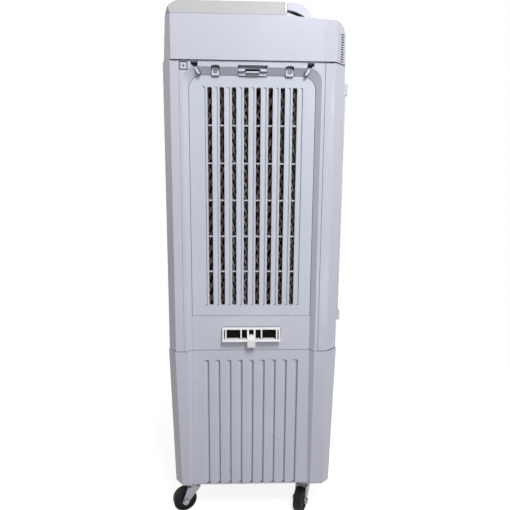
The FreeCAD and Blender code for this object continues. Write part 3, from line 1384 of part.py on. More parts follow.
def make_ice_tray():
    body = new_body("ice_tray")
    half = s.tray_width / 2
    floor = deck - s.tray_depth
    rim = s.tray_rim
    rim_foot = deck + s.seat_gap
    rim_top = rim_foot + s.tray_rim_height
    pad(body, "XY", floor, rim_top, rectangle(-s.tray_rear, s.tray_front, -half, half))
    pad(body, "XY", rim_foot, rim_top,
        rectangle(-s.tray_rear - rim, s.tray_front + rim, -half - rim, half + rim))
    wall = s.tray_wall
    pocket(body, "XY", floor + wall, rim_top + 1,
           rectangle(wall - s.tray_rear, s.tray_front - wall, wall - half, half - wall))
    for x in (-0.5, 0.5):
        middle = (s.tray_front - s.tray_rear) / 2 + s.drip_pitch * x
        drip = pocket(body, "XY", floor - 1, floor + wall + 1, disc(middle, s.drip_pitch * -3, s.drip_radius))
        row(body, [drip], "Y", s.drip_pitch, as_size(7))
    return keep(body)


# ---------------------------------------------------------------- control panel, knobs, buttons and hood

panel_rear = bridge_front + s.panel_setback
panel_front = panel_rear + s.panel_run
deck_slope = s.front_fall / (slope_end - slope_start)
panel_front_foot = deck - deck_slope * (panel_front - slope_start) + s.seat_gap
panel_rear_foot = deck - deck_slope * (panel_rear - slope_start) + s.seat_gap
panel_front_top = panel_front_foot + s.panel_lip
panel_rear_top = panel_front_top + s.panel_run * tangent(s.panel_tilt)
panel_middle_x = (panel_rear + panel_front) / 2
panel_middle_z = (panel_rear_top + panel_front_top) / 2


def on_panel(piece, y):
    """Stands a piece on the sloping face, with its Z along the face's normal."""
    return place(piece, panel_middle_x, y, panel_middle_z, (0, 1, 0), s.panel_tilt)


def make_control_panel():
    blank = new_body("control_panel")
    half = s.panel_half_length
    side = [(panel_rear, panel_rear_foot), (panel_front, panel_front_foot),
            (panel_front, panel_front_top), (panel_rear, panel_rear_top)]
    pad(blank, "XZ", -half, half, poly(side))
    wall = s.panel_wall
    drop = wall / cosine(s.panel_tilt)
    hollow_end = panel_front - (s.panel_lip + wall * 3)
    hollow_top = panel_rear_top - drop
    end_top = panel_front_top + (panel_front - hollow_end) * tangent(s.panel_tilt) - drop
    rear_x = panel_rear + wall
    inner = [(rear_x, panel_rear_foot - 2), (hollow_end, panel_rear_foot - s.panel_run * deck_slope - 2),
             (hollow_end, end_top), (rear_x, hollow_top - wall * tangent(s.panel_tilt))]
    pocket(blank, "XZ", wall - half, half - wall, poly(inner))
    tools = []
    for y, radius in (
        (-s.knob_offset, s.knob_shaft_radius + s.pin_gap),
        (s.knob_offset, s.knob_shaft_radius + s.pin_gap),
        (-s.button_offset, s.button_radius + s.button_gap),
        (s.button_offset, s.button_radius + s.button_gap),
    ):
        cutter = doc.addObject("Part::Cylinder", "Bore")
        bind(cutter, "Radius", radius)
        bind(cutter, "Height", s.panel_wall * 4)
        shift = s.panel_wall * 2
        place(cutter, panel_middle_x - shift * sine(s.panel_tilt), y,
              panel_middle_z - shift * cosine(s.panel_tilt), (0, 1, 0), s.panel_tilt)
        tools.append(cutter)
    return keep(bore("control_panel", blank, tools))


def make_knob(label, y):
    body = new_body(label)
    top = s.knob_gap + s.knob_height
    pad(body, "XY", s.knob_gap, top, disc(0, 0, s.knob_radius))
    pad(body, "XY", -s.knob_shaft_length, s.knob_gap + 1, disc(0, 0, s.knob_shaft_radius))
    grip = s.knob_radius / 5
    notch = s.knob_height / 2
    for hand in (-1, 1):
        low, high = (grip, s.knob_radius * 2) if hand > 0 else (-s.knob_radius * 2, -grip)
        pocket(body, "XY", top - notch, top + 1, rectangle(-s.knob_radius * 2, s.knob_radius * 2, low, high))
    return keep(on_panel(body, y))


def make_button(label, y):
    body = new_body(label)
    pad(body, "XY", -s.button_stem, s.button_height, disc(0, 0, s.button_radius))
    return keep(on_panel(body, y))


def make_control_hood():
    body = new_body("control_hood")
    half = s.hood_half_length
    r = s.hood_hinge_radius
    flat_end = hood_rear + s.hood_flat
    front = hood_rear + s.hood_run
    front_foot = deck - deck_slope * (front - slope_start) + s.hood_gap
    inner_front = front - s.hood_edge
    inner_foot = deck - deck_slope * (inner_front - slope_start) + s.hood_gap
    inner_top = lid_top - s.hood_thickness
    side = [
        (hood_rear, inner_top), (inner_front, inner_foot),
        (front, front_foot), (flat_end, lid_top), (hood_axis_x, lid_top), (hood_rear, hood_axis_z),
    ]
    bends = {0: -s.hood_inner_radius, 2: s.hood_radius, 4: r}
    pad(body, "XZ", -half, half, poly(side, bends))
    wall = s.hood_wall
    hollow_rear = hood_axis_x + r + 1
    hollow = [
        (hollow_rear, inner_foot - 1), (inner_front, inner_foot - 1), (inner_front, inner_foot),
        (flat_end, lid_top - wall), (hollow_rear, lid_top - wall),
    ]
    pocket(body, "XZ", wall - half, half - wall, poly(hollow, {2: s.hood_hollow_radius}))
    notch_half = s.barrel_radius + 1 + s.hinge_ear_gap
    for hand in (-1, 1):
        middle = hand * s.hood_hinge_offset
        pocket(body, "XZ", middle - notch_half, middle + notch_half,
               rectangle(hood_rear - 1, hood_axis_x + r + s.hinge_ear_gap, inner_top - 1, lid_top + 1))
        reach = s.barrel_radius + 1 + s.hinge_pin_reach + s.hinge_ear_gap
        pocket(body, "XZ", middle - reach, middle + reach,
               disc(hood_axis_x, hood_axis_z, s.hinge_pin_radius + s.pin_gap))
    return keep(body)


# ---------------------------------------------------------------- water parts


# inner and outer edge of each window, as shares of half the drawer's face
DRAWER_WINDOWS = ((0.145, 0.33), (0.377, 0.855), (0.905, 0.945))


def make_fill_drawer():
    body = new_body("fill_drawer")
    half = s.drawer_width / 2
    foot = seam + s.drawer_rise
    top = foot + s.drawer_height
    back = s.channel_depth - s.seat_gap
    front = s.channel_depth - s.drawer_proud
    pad(body, "XZ", front, back, rectangle(-half, half, foot, top))
    top_front = s.channel_depth - s.drawer_top_proud
    lean = poly([(front, foot), (top_front, top), (top_front, top + 1),
                 (front - 1, top + 1), (front - 1, foot)])
    pocket(body, "YZ", -half - 1, half + 1, lean)
    box_half = half - s.drawer_rebate
    rebate = s.drawer_rebate / 2
    box_back = s.channel_depth + s.drawer_depth
    pad(body, "XZ", back - 1, box_back, rectangle(-box_half, box_half, foot + rebate, top - rebate))
    wall = s.drawer_wall
    window_back = s.channel_depth + wall - s.drawer_window_floor
    pocket(body, "XY", foot + rebate + wall, top,
           rectangle(wall - box_half, box_half - wall, s.channel_depth + wall, box_back - wall))
    low, high = foot + s.drawer_window_margin, top - s.drawer_window_margin
    for hand in (-1, 1):
        for inner_edge, outer_edge in DRAWER_WINDOWS:
            near, far = hand * half * inner_edge, hand * half * outer_edge
            low_x, high_x = (near, far) if hand > 0 else (far, near)
            pocket(body, "XZ", front - 1, window_back, rectangle(low_x, high_x, low, high))
    middle_half = s.drawer_middle_window / 2
    pocket(body, "XZ", front - 1, window_back,
           rectangle(-middle_half, middle_half, (foot + top) / 2 - 2, high))
    tab_half = s.drawer_tab_width / 2
    tab_front = front - s.drawer_tab_lead
    pad(body, "XZ", tab_front, tab_front + s.drawer_tab_depth,
        rectangle(-tab_half, tab_half, foot - s.drawer_tab_height, foot + rebate))
    return keep(turn_to("right", body))


gutter_foot = frame_top + s.collar_wall + s.seat_gap
gutter_top = gutter_foot + s.gutter_height


def gutter_outline(wall):
    side_y = half_width - s.channel_depth - s.casing_wall - s.seat_gap - wall
    rear_x = s.rear_reach - s.rear_channel_depth - s.casing_wall - s.seat_gap - wall
    inner_y = half_width - s.channel_depth - s.casing_wall - s.seat_gap - s.gutter_width + wall
    inner_x = s.rear_reach - s.rear_channel_depth - s.casing_wall - s.seat_gap - s.gutter_width + wall
    front = s.gutter_front - wall
    corner = s.gutter_corner - wall * MITRE
    return poly([
        (front, -side_y), (front, -inner_y), (-inner_x, -inner_y), (-inner_x, inner_y),
        (front, inner_y), (front, side_y), (corner - rear_x, side_y), (-rear_x, side_y - corner),
        (-rear_x, corner - side_y), (corner - rear_x, -side_y),
    ])


def make_water_distributor():
    body = new_body("water_distributor")
    wall = s.gutter_wall
    pad(body, "XY", gutter_foot, gutter_top, gutter_outline(as_size(0)))
    pocket(body, "XY", gutter_foot + wall, gutter_top + 1, gutter_outline(wall))
    low, high = gutter_foot - 1, gutter_foot + wall + 1
    leg_y = half_width - s.channel_depth - s.casing_wall - s.gutter_width / 2
    rear_x = s.rear_reach - s.rear_channel_depth - s.casing_wall - s.gutter_width / 2
    span = s.gutter_drip_pitch * (s.gutter_drips - 1) / 2
    for side in (-1, 1):
        drip = pocket(body, "XY", low, high, disc(-span, side * leg_y, s.drip_radius))
        row(body, [drip], "X", s.gutter_drip_pitch, s.gutter_drips)
    drip = pocket(body, "XY", low, high, disc(-rear_x, -span, s.drip_radius))
    row(body, [drip], "Y", s.gutter_drip_pitch, s.gutter_drips)
    pocket(body, "XY", low, high, disc(-s.pump_x, s.pump_y, s.riser_radius + s.riser_hole_gap))
    return keep(body)


pump_foot = s.tank_underside + s.tank_floor + s.seat_gap
pump_top = pump_foot + s.pump_height


def make_pump():
    body = new_body("pump")
    half = s.pump_side / 2
    pad(body, "XY", 0, s.pump_height, rectangle(-half, half, -half, half))
    grille = half * 0.7
    intake = pocket(body, "YZ", half - 3, half + 1, rectangle(-grille, grille, 6, 9))
    row(body, [intake], "Z", as_size(6), as_size(5))
    return keep(place(body, -s.pump_x, s.pump_y, pump_foot))


def make_riser_tube():
    body = new_body("riser_tube")
    outer = s.riser_radius
    foot = pump_top + s.seat_gap
    top = gutter_foot + s.gutter_wall * 3
    pad(body, "XY", foot, top, disc(0, 0, outer), disc(0, 0, outer - s.riser_wall))
    return keep(place(body, -s.pump_x, s.pump_y))


valve_z = seam - s.valve_drop
tank_inner = tank_lean(valve_z) + s.tank_wall - s.rear_reach
arm_x = tank_inner + s.valve_length + s.valve_ear_length / 2 + 2


def make_float_valve():
    body = new_body("float_valve")
    # the wall leans, so a flat flange needs this much more room
    slant = s.valve_flange_radius * s.tank_draft / s.tank_height
    face = tank_inner + slant + s.seat_gap
    nut_face = tank_inner - s.tank_wall - slant - s.seat_gap
    nut_end = nut_face - s.inlet_nut_height
    pad(body, "YZ", nut_end - s.inlet_length, face + 1, disc(0, 0, s.inlet_radius))
    pad(body, "YZ", nut_end, nut_face, disc(0, 0, s.valve_flange_radius))
    pad(body, "YZ", face, face + 4, disc(0, 0, s.valve_flange_radius))
    half = s.valve_side / 2
    rear = tank_inner + s.valve_length
    pad(body, "YZ", face + 1, rear, rectangle(-half, half, -half, half))
    gap = s.valve_ear_gap / 2
    tip = rear + s.valve_ear_length
    for hand in (-1, 1):
        low, high = (gap, half) if hand > 0 else (-half, -gap)
        pad(body, "XZ", low, high, rectangle(rear - 1, tip, -half, half))
    pad(body, "XZ", -half, half, disc(arm_x, 0, s.hinge_pin_radius))
    return keep(place(body, 0, -s.valve_y, valve_z))


def make_float_arm():
    body = new_body("float_arm")
    half = s.arm_thickness / 2
    rise = s.arm_width / 2
    pad(body, "XZ", -half, half, disc(0, 0, rise))
    pad(body, "XZ", -half, half, rectangle(0, s.arm_length, -rise + 1, rise - 1))
    middle = s.arm_length + s.float_radius - 1
    pad(body, "XZ", -s.float_length / 2, s.float_length / 2, disc(middle, 0, s.float_radius))
    pocket(body, "XZ", -half - 1, half + 1, disc(0, 0, s.hinge_pin_radius + s.pin_gap))
    return keep(place(body, arm_x, -s.valve_y, valve_z, axis=(0, 1, 0), angle=s.arm_droop))


def make_drain_cap():
    body = new_body("drain_cap")
    z = s.tank_underside + s.drain_rise
    face = tank_lean(z) - s.rear_reach
    pad(body, "YZ", face - s.drain_cap_height - 1, face - 1, disc(0, z, s.drain_cap_radius))
    pad(body, "YZ", face - 2, face + s.tank_wall, disc(0, z, s.drain_radius - s.drain_gap))
    return keep(body)


def make_cord_gland():
    body = new_body("cord_gland")
    pad(body, "YZ", -s.gland_flange, 0, disc(0, 0, s.gland_radius))
    pad(body, "YZ", -1, s.gland_neck, disc(0, 0, s.gland_neck_radius))
    pocket(body, "YZ", -s.gland_flange - 1, s.gland_neck + 1, disc(0, 0, s.gland_bore_radius))
    return keep(place(body, -s.rear_reach, s.gland_y, seam + s.gland_rise))


# ---------------------------------------------------------------- castors
# Each castor is drawn with its swivel axis on Z and its wheel trailing towards -X.

CASTORS = {
    "rear_right": (-s.castor_rear_x, -s.castor_y, s.rear_heading),
    "rear_left": (-s.castor_rear_x, s.castor_y, -s.rear_heading),
    "front_right": (s.castor_front_x, -s.castor_y, s.front_heading),
    "front_left": (s.castor_front_x, s.castor_y, s.front_heading),
}

plate_foot = s.tank_underside - s.foot_pad_height - s.castor_plate
race_top = s.crown_underside + s.crown_plate + s.race_height
cheek_inner = s.wheel_width / 2 + s.cheek_gap
cheek_outer = cheek_inner + s.fork_plate


def make_castor_plates():
    parts = []
    for x, y, heading in CASTORS.values():
        half = s.castor_plate_side / 2
        plate = doc.addObject("Part::Box", "Plate")
        bind(plate, "Length", s.castor_plate_side)
        bind(plate, "Width", s.castor_plate_side)
        bind(plate, "Height", s.castor_plate)
        place(plate, x - half, y - half, plate_foot)
        dome = doc.addObject("Part::Cone", "Dome")
        bind(dome, "Radius1", s.race_radius)
        bind(dome, "Radius2", s.race_radius + 2)
        dome_foot = race_top + s.seam_gap
        bind(dome, "Height", plate_foot - dome_foot + 1)
        place(dome, x, y, dome_foot)
        head_top = s.crown_underside - s.seam_gap
        pin = rod("Z", x, y, head_top - 1, plate_foot, s.kingpin_radius)
        head = rod("Z", x, y, head_top - s.kingpin_head_height, head_top, s.kingpin_head_radius)
        parts += [plate, dome, pin, head]
    return keep(merge("castor_plates", parts))


def make_castor_fork(name):
    x, y, heading = CASTORS[name]
    fork = new_body(f"fork_sheet_{name}")
    crown_top = s.crown_underside + s.crown_plate
    pad(fork, "XY", s.crown_underside, crown_top,
        rectangle(-s.crown_half, s.crown_half, -cheek_outer, cheek_outer))
    pad(fork, "XY", crown_top - 1, race_top, disc(0, 0, s.race_radius))
    end = s.fork_end_radius
    axle_z = s.wheel_radius
    cheek = poly([
        (-s.crown_half, crown_top), (-s.castor_trail - end, axle_z), (end - s.castor_trail, axle_z),
        (s.crown_half, s.crown_underside), (s.crown_half, crown_top),
    ], {1: end * 1.001})
    for low, high in ((-cheek_outer, -cheek_inner), (cheek_inner, cheek_outer)):
        pad(fork, "XZ", low, high, cheek)
    hole = s.axle_radius + s.pin_gap
    pocket(fork, "XZ", -cheek_outer - 1, cheek_outer + 1, disc(-s.castor_trail, axle_z, hole))
    pocket(fork, "XY", s.crown_underside - 1, race_top + 1, disc(0, 0, s.kingpin_radius + s.pin_gap))
    reach = cheek_outer + s.axle_head_height
    spindle = rod("Y", -s.castor_trail, axle_z, -reach, reach, s.axle_radius)
    near = rod("Y", -s.castor_trail, axle_z, -reach, -cheek_outer, s.axle_head_radius)
    far = rod("Y", -s.castor_trail, axle_z, cheek_outer, reach, s.axle_head_radius)
    axle = merge(f"axle_{name}", [spindle, near, far])
    both = doc.addObject("Part::Compound", f"castor_fork_{name}")
    both.Label = f"castor_fork_{name}"
    both.Links = [fork, axle]
    return keep(place(both, x, y, 0, angle=heading))


def make_castor_wheel(name):
    x, y, heading = CASTORS[name]
    body = new_body(f"castor_wheel_{name}")
    half = s.wheel_width / 2
    r = s.wheel_radius
    edge = s.wheel_round
    dish_r = r - edge * 1.6
    boss = s.hub_boss_radius
    bore_r = s.axle_radius + s.pin_gap
    hub = half + s.hub_boss
    dish = half - s.wheel_dish
    # half section: radius across, width up
    section = poly([
        (bore_r, -hub), (boss, -hub), (boss + 2, -dish), (dish_r, -dish), (dish_r + 2, -half),
        (r - edge, -half), (r, edge - half), (r, half - edge), (r - edge, half), (dish_r + 2, half),
        (dish_r, dish), (boss + 2, dish), (boss, hub), (bore_r, hub),
    ], {5: edge, 7: edge})
    turn(body, "XY", "Y", section)
    trail_x = x - s.castor_trail * cosine(heading)
    trail_y = y - s.castor_trail * sine(heading)
    return keep(place(body, trail_x, trail_y, s.wheel_radius, angle=heading))


# ---------------------------------------------------------------- the whole cooler


def make_everything():
    make_water_tank()
    make_front_housing()
    make_rear_housing()
    for face in ("right", "left"):
        make_side_panel(face)
    for face in FACES:
        make_pad_frame(face)
        make_cooling_pad(face)
        make_frame_screws(face)
        make_frame_catch(face)
    make_top_housing()
    make_top_lid()
    make_ice_tray()
    make_control_panel()
    make_knob("speed_knob", -s.knob_offset)
    make_knob("timer_knob", s.knob_offset)
    make_button("swing_button", -s.button_offset)
    make_button("pump_button", s.button_offset)
    make_control_hood()
    make_outlet_bezel()
    for number in range(LOUVERS):
        make_louver(number)
    for number in range(VANES):
        make_vane(number)
    make_louver_link()
    make_vane_link()
    make_fan_shroud()
    make_motor_bracket()
    make_fan_motor()
    make_fan_blades()
    make_fill_drawer()
    make_water_distributor()
    make_pump()
    make_riser_tube()
    make_float_valve()
    make_float_arm()
    make_drain_cap()
    make_cord_gland()
    make_castor_plates()
    for name in CASTORS:
        make_castor_fork(name)
        make_castor_wheel(name)


def check_and_write():
    """Stops on any failed object, cut that removed nothing or bad shape, then writes the nodes."""
    faults = []
    for thing in doc.Objects:
        owner = thing.getParentGeoFeatureGroup()
        name = f"{thing.Name} in {owner.Label}" if owner else thing.Label
        if {"Invalid", "Error"} & set(thing.State):
            faults.append(f"{name} failed")
        elif thing.TypeId == "PartDesign::Pocket" and thing.BaseFeature:
            if thing.Shape.Volume > thing.BaseFeature.Shape.Volume - 1e-3:
                faults.append(f"{name} cuts nothing")
    for node in nodes:
        shape = node.Shape
        if shape.isNull() or not shape.isValid() or not shape.Solids:
            faults.append(f"{node.Label} has a bad shape")
    if faults:
        raise RuntimeError("; ".join(faults))
    os.makedirs("parts", exist_ok=True)
    for node in nodes:
        node.Shape.exportStep(os.path.join("parts", f"{node.Label}.step"))


make_everything()
doc.recompute()
check_and_write()
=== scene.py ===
import json
import math

import bmesh
import bpy
from mathutils import Matrix, Vector


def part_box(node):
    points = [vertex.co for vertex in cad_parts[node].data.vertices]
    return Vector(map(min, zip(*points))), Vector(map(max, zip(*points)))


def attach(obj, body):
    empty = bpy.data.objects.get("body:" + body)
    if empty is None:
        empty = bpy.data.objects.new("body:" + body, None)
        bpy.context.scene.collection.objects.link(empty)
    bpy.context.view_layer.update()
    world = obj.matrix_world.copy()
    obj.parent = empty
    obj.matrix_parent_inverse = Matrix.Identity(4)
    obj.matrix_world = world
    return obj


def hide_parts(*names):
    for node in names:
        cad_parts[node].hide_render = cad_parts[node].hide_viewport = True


# A tall evaporative cooler on castors. X points to the air outlet, Y to its left side, Z up.

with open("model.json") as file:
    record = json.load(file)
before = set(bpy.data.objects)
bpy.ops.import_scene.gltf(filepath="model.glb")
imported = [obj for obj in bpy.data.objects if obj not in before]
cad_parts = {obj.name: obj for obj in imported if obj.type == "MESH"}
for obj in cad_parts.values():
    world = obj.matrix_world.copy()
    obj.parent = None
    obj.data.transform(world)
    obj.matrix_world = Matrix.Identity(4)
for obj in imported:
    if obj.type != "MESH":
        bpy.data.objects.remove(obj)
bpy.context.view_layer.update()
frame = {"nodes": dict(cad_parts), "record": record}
record = frame["record"]
carrier = {node: body for body, nodes in record["behaviour"]["bodies"].items() for node in nodes}
slot_of = {part["node"]: part["material_slot"] for part in record["subparts"]}

MM = 0.001


# ---------------------------------------------------------------- finishes


def wire(tree, kind, sockets=None, **settings):
    """Adds a node. A socket is given a plain value or another node's output."""
    node = tree.nodes.new(kind)
    for name, value in settings.items():
        setattr(node, name, value)
    for name, value in (sockets or {}).items():
        if isinstance(value, bpy.types.NodeSocket):
            tree.links.new(value, node.inputs[name])
        else:
            node.inputs[name].default_value = value
    return node


def blank_finish(name):
    finish = bpy.data.materials.new(name)
    finish.use_nodes = True
    tree = finish.node_tree
    tree.nodes.clear()
    place = wire(tree, "ShaderNodeTexCoord").outputs["Object"]
    return finish, tree, place


def shade(colour, amount):
    return tuple(min(1.0, c * amount) for c in colour[:3]) + (1.0,)


def speckle(tree, place, size, detail=2.0, rough=0.5):
    """Soft random blotches about size metres across."""
    noise = wire(tree, "ShaderNodeTexNoise", {"Vector": place, "Scale": 1.0 / size, "Detail": detail,
                                              "Roughness": rough})
    return noise.outputs["Fac"]


def stretched(tree, place, share):
    """Places squeezed along Z to a share, so that a pattern read there is drawn out upright."""
    return wire(tree, "ShaderNodeMapping", {"Vector": place, "Scale": (1.0, 1.0, share)}).outputs["Vector"]


def ramp(tree, factor, *stops):
    node = wire(tree, "ShaderNodeValToRGB", {"Fac": factor})
    points = node.color_ramp.elements
    points[0].position, points[0].color = stops[0]
    points[1].position, points[1].color = stops[-1]
    for position, colour in stops[1:-1]:
        points.new(position).color = colour
    return node.outputs["Color"]


def span(tree, value, low, high, to_low, to_high):
    sockets = {"Value": value, "From Min": low, "From Max": high, "To Min": to_low, "To Max": to_high}
    return wire(tree, "ShaderNodeMapRange", sockets, clamp=True).outputs["Result"]


def mix(tree, factor, first, second, kind="MIX"):
    return wire(tree, "ShaderNodeMixRGB", {"Fac": factor, "Color1": first, "Color2": second},
                blend_type=kind).outputs["Color"]


def relief(tree, height, depth, under=None, strength=1.0):
    sockets = {"Height": height, "Distance": depth, "Strength": strength}
    if under is not None:
        sockets["Normal"] = under
    return wire(tree, "ShaderNodeBump", sockets).outputs["Normal"]


def worn_edge(tree, radius, start=0.985, full=0.86):
    """1 on sharp outer and inner edges and 0 on open faces."""
    soft = wire(tree, "ShaderNodeBevel", {"Radius": radius}, samples=4).outputs["Normal"]
    flat = wire(tree, "ShaderNodeNewGeometry").outputs["True Normal"]
    facing = wire(tree, "ShaderNodeVectorMath", {0: soft, 1: flat}, operation="DOT_PRODUCT")
    return span(tree, facing.outputs["Value"], start, full, 0.0, 1.0)


def seam_shade_mask(tree, reach):
    """1 deep in grooves and corners, 0 in the open: where shade is painted into the colour."""
    shelter = wire(tree, "ShaderNodeAmbientOcclusion", {"Distance": reach}, samples=6).outputs["AO"]
    return span(tree, shelter, 0.90, 0.50, 0.0, 1.0)


def close(tree, shader):
    out = wire(tree, "ShaderNodeOutputMaterial")
    tree.links.new(shader, out.inputs["Surface"])


SEAM_REACH = 5 * MM
# how much of the colour is left where shade is painted into seams and grooves
SEAM_SHADE_TINT = (0.10, 0.10, 0.105)
# going forward, the casing turns glossier and slightly uneven between these two
GLOSSY_FROM = 150 * MM
GLOSSY_FULL = 172 * MM


def moulded_plastic(name, colour, gloss=0.32, grain=0.02, seam_shade_strength=0.9, wear=0.03, ripple=0.0, sheen=0.5):
    """Injection moulded plastic: slight flow marks, fine grain, paler worn edges and painted shade darkening
    the seams.

    grain is the depth of the fine texture in millimetres, and ripple that of the sink marks
    near the casing's front in metres.
    """
    finish, tree, place = blank_finish(name)
    cloud = speckle(tree, place, 0.16, 3.0)
    tone = ramp(tree, cloud, (0.3, shade(colour, 0.975)), (0.7, shade(colour, 1.02)))
    mottle = speckle(tree, place, 0.012, 4.0, 0.6)
    tone = mix(tree, span(tree, mottle, 0.35, 0.7, 0.0, 0.03), tone, shade(colour, 0.9))
    tone = mix(tree, worn_edge(tree, 1.2 * MM), tone, shade(colour, 1.0 + wear))
    # painted shade: seams and grooves are darkened towards a tenth of the colour, standing in for the shade
    # that falls there
    seam_shade_colour = tuple(c * left for c, left in zip(colour, SEAM_SHADE_TINT)) + (1.0,)
    seam_shade_share = wire(tree, "ShaderNodeMath", {0: seam_shade_mask(tree, SEAM_REACH), 1: seam_shade_strength}, operation="MULTIPLY")
    tone = mix(tree, seam_shade_share.outputs["Value"], tone, seam_shade_colour)
    polish = span(tree, speckle(tree, place, 0.05, 3.0), 0.3, 0.7, gloss - 0.04, gloss + 0.06)
    face = relief(tree, speckle(tree, place, 0.07, 1.0), 0.5 * MM, strength=0.35)
    if ripple:
        forward = wire(tree, "ShaderNodeSeparateXYZ", {"Vector": place}).outputs["X"]
        near_front = span(tree, forward, GLOSSY_FROM, GLOSSY_FULL, 0.0, 1.0)
        drawn = stretched(tree, place, 0.28)
        marks = wire(tree, "ShaderNodeMath", {0: speckle(tree, drawn, 0.026, 2.0), 1: near_front},
                     operation="MULTIPLY").outputs["Value"]
        face = relief(tree, marks, ripple, under=face)
        polish = wire(tree, "ShaderNodeMath", {0: polish, 1: span(tree, near_front, 0.0, 1.0, 1.0, 0.6)},
                      operation="MULTIPLY").outputs["Value"]
    fine = relief(tree, speckle(tree, place, 0.0011, 2.0), grain * MM, under=face, strength=0.5)
    body = wire(tree, "ShaderNodeBsdfPrincipled", {"Base Color": tone, "Roughness": polish, "Normal": fine,
                                                   "IOR": 1.49, "Specular IOR Level": sheen})
    close(tree, body.outputs["BSDF"])
    return finish


def bare_metal(name, colour, rough, wear=0.4):
    """Plated or rolled steel with a fine grain, dull patches and bright edges."""
    finish, tree, place = blank_finish(name)
    grain = speckle(tree, place, 0.0016, 3.0)
    bloom = speckle(tree, place, 0.009, 4.0, 0.65)
    tone = ramp(tree, bloom, (0.3, shade(colour, 0.78)), (0.5, shade(colour, 0.95)),
                (0.75, shade(colour, 1.08)))
    tone = mix(tree, worn_edge(tree, 0.8 * MM), tone, shade(colour, 1.0 + wear))
    polish = span(tree, bloom, 0.3, 0.7, rough - 0.08, rough + 0.14)
    lines = relief(tree, grain, 0.03 * MM, strength=0.4)
    body = wire(tree, "ShaderNodeBsdfPrincipled", {"Base Color": tone, "Roughness": polish, "Normal": lines,
                                                   "Metallic": 0.85})
    close(tree, body.outputs["BSDF"])
    return finish


def pad_paper(name):
    """Resin-soaked brown cellulose: pale fibres, darker wet streaks, and painted shade that turns it near
    black deep in the pad.
    """
    finish, tree, place = blank_finish(name)
    inside = wire(tree, "ShaderNodeAttribute", attribute_name="inside").outputs["Fac"]
    fibres = speckle(tree, stretched(tree, place, 0.22), 0.0012, 4.0, 0.7)
    streak = speckle(tree, place, 0.02, 3.0)
    tone = ramp(tree, streak, (0.3, (0.200, 0.135, 0.105, 1.0)), (0.55, (0.330, 0.245, 0.205, 1.0)),
                (0.8, (0.460, 0.370, 0.325, 1.0)))
    tone = mix(tree, span(tree, fibres, 0.45, 0.75, 0.0, 0.5), tone, (0.52, 0.43, 0.37, 1.0))
    # painted shade: the paper darkens to near black with depth into the pad, where shade falls between the
    # sheets
    tone = mix(tree, span(tree, inside, 0.06, 0.34, 0.0, 1.0), tone, (0.016, 0.012, 0.010, 1.0))
    rough = relief(tree, fibres, 0.25 * MM, strength=0.7)
    body = wire(tree, "ShaderNodeBsdfPrincipled", {"Base Color": tone, "Roughness": 0.86, "Normal": rough,
                                                   "Specular IOR Level": 0.2})
    close(tree, body.outputs["BSDF"])
    return finish


def wheel_rubber(name, colour):
    """Hard black tread with scuffs and a little floor dust."""
    finish, tree, place = blank_finish(name)
    dust = speckle(tree, place, 0.006, 5.0, 0.7)
    tone = ramp(tree, dust, (0.45, colour + (1.0,)), (0.8, shade(colour, 2.6)))
    polish = span(tree, dust, 0.3, 0.8, 0.42, 0.72)
    rough = relief(tree, speckle(tree, place, 0.0009, 3.0), 0.05 * MM, strength=0.5)
    body = wire(tree, "ShaderNodeBsdfPrincipled", {"Base Color": tone, "Roughness": polish, "Normal": rough,
                                                   "Specular IOR Level": 0.2})
    close(tree, body.outputs["BSDF"])
    return finish


BODY_GREY = (0.610, 0.624, 0.724)
LID_GREY = (0.470, 0.476, 0.490)
FINISHES = {
    "body_plastic": moulded_plastic("casing plastic", BODY_GREY, gloss=0.30, ripple=1.2 * MM),
    "lid_plastic": moulded_plastic("lid plastic", LID_GREY, gloss=0.40, sheen=0.25),
    "frame_plastic": moulded_plastic("pad frame plastic", (0.600, 0.640, 0.730), gloss=0.34),
    "white_plastic": moulded_plastic("white plastic", (0.86, 0.86, 0.87), gloss=0.28),
    "dark_plastic": moulded_plastic("black plastic", (0.022, 0.022, 0.025), gloss=0.42, grain=0.04, wear=1.5),
    "outlet_plastic": moulded_plastic("outlet plastic", (0.56, 0.575, 0.63), gloss=0.30),
    "fan_plastic": moulded_plastic("fan plastic", (0.30, 0.32, 0.35), gloss=0.42),
    "motor_paint": moulded_plastic("motor enamel", (0.075, 0.078, 0.085), gloss=0.36, wear=0.8),
    "cellulose": pad_paper("pad paper"),
    "steel": bare_metal("screw steel", (0.24, 0.24, 0.25), rough=0.28),
    "zinc": bare_metal("zinc plate", (0.33, 0.34, 0.37), rough=0.36),
    "wheel_black": wheel_rubber("wheel rubber", (0.006, 0.006, 0.007)),
}


# ---------------------------------------------------------------- making pieces


def new_piece(name, shape, nodes, smooth=32):
    """Turns a bmesh into a piece that stands for the given nodes and rides with them."""
    mesh = bpy.data.meshes.new(name)
    for face in shape.faces:
        face.smooth = True
    shape.to_mesh(mesh)
    shape.free()
    mesh.set_sharp_from_angle(angle=math.radians(smooth))
    piece = bpy.data.objects.new(name, mesh)
    bpy.context.scene.collection.objects.link(piece)
    mesh.materials.append(FINISHES[slot_of[nodes[0]]])
    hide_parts(*nodes)
    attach(piece, carrier[nodes[0]])
    return piece


def cleaned(node):
    """A closed copy of a node's shape with its flat faces whole again."""
    shape = bmesh.new()
    shape.from_mesh(frame["nodes"][node].data)
    bmesh.ops.remove_doubles(shape, verts=shape.verts, dist=0.004 * MM)
    bmesh.ops.dissolve_limit(shape, angle_limit=math.radians(0.5), verts=shape.verts, edges=shape.edges,
                             delimit=set())
    return shape


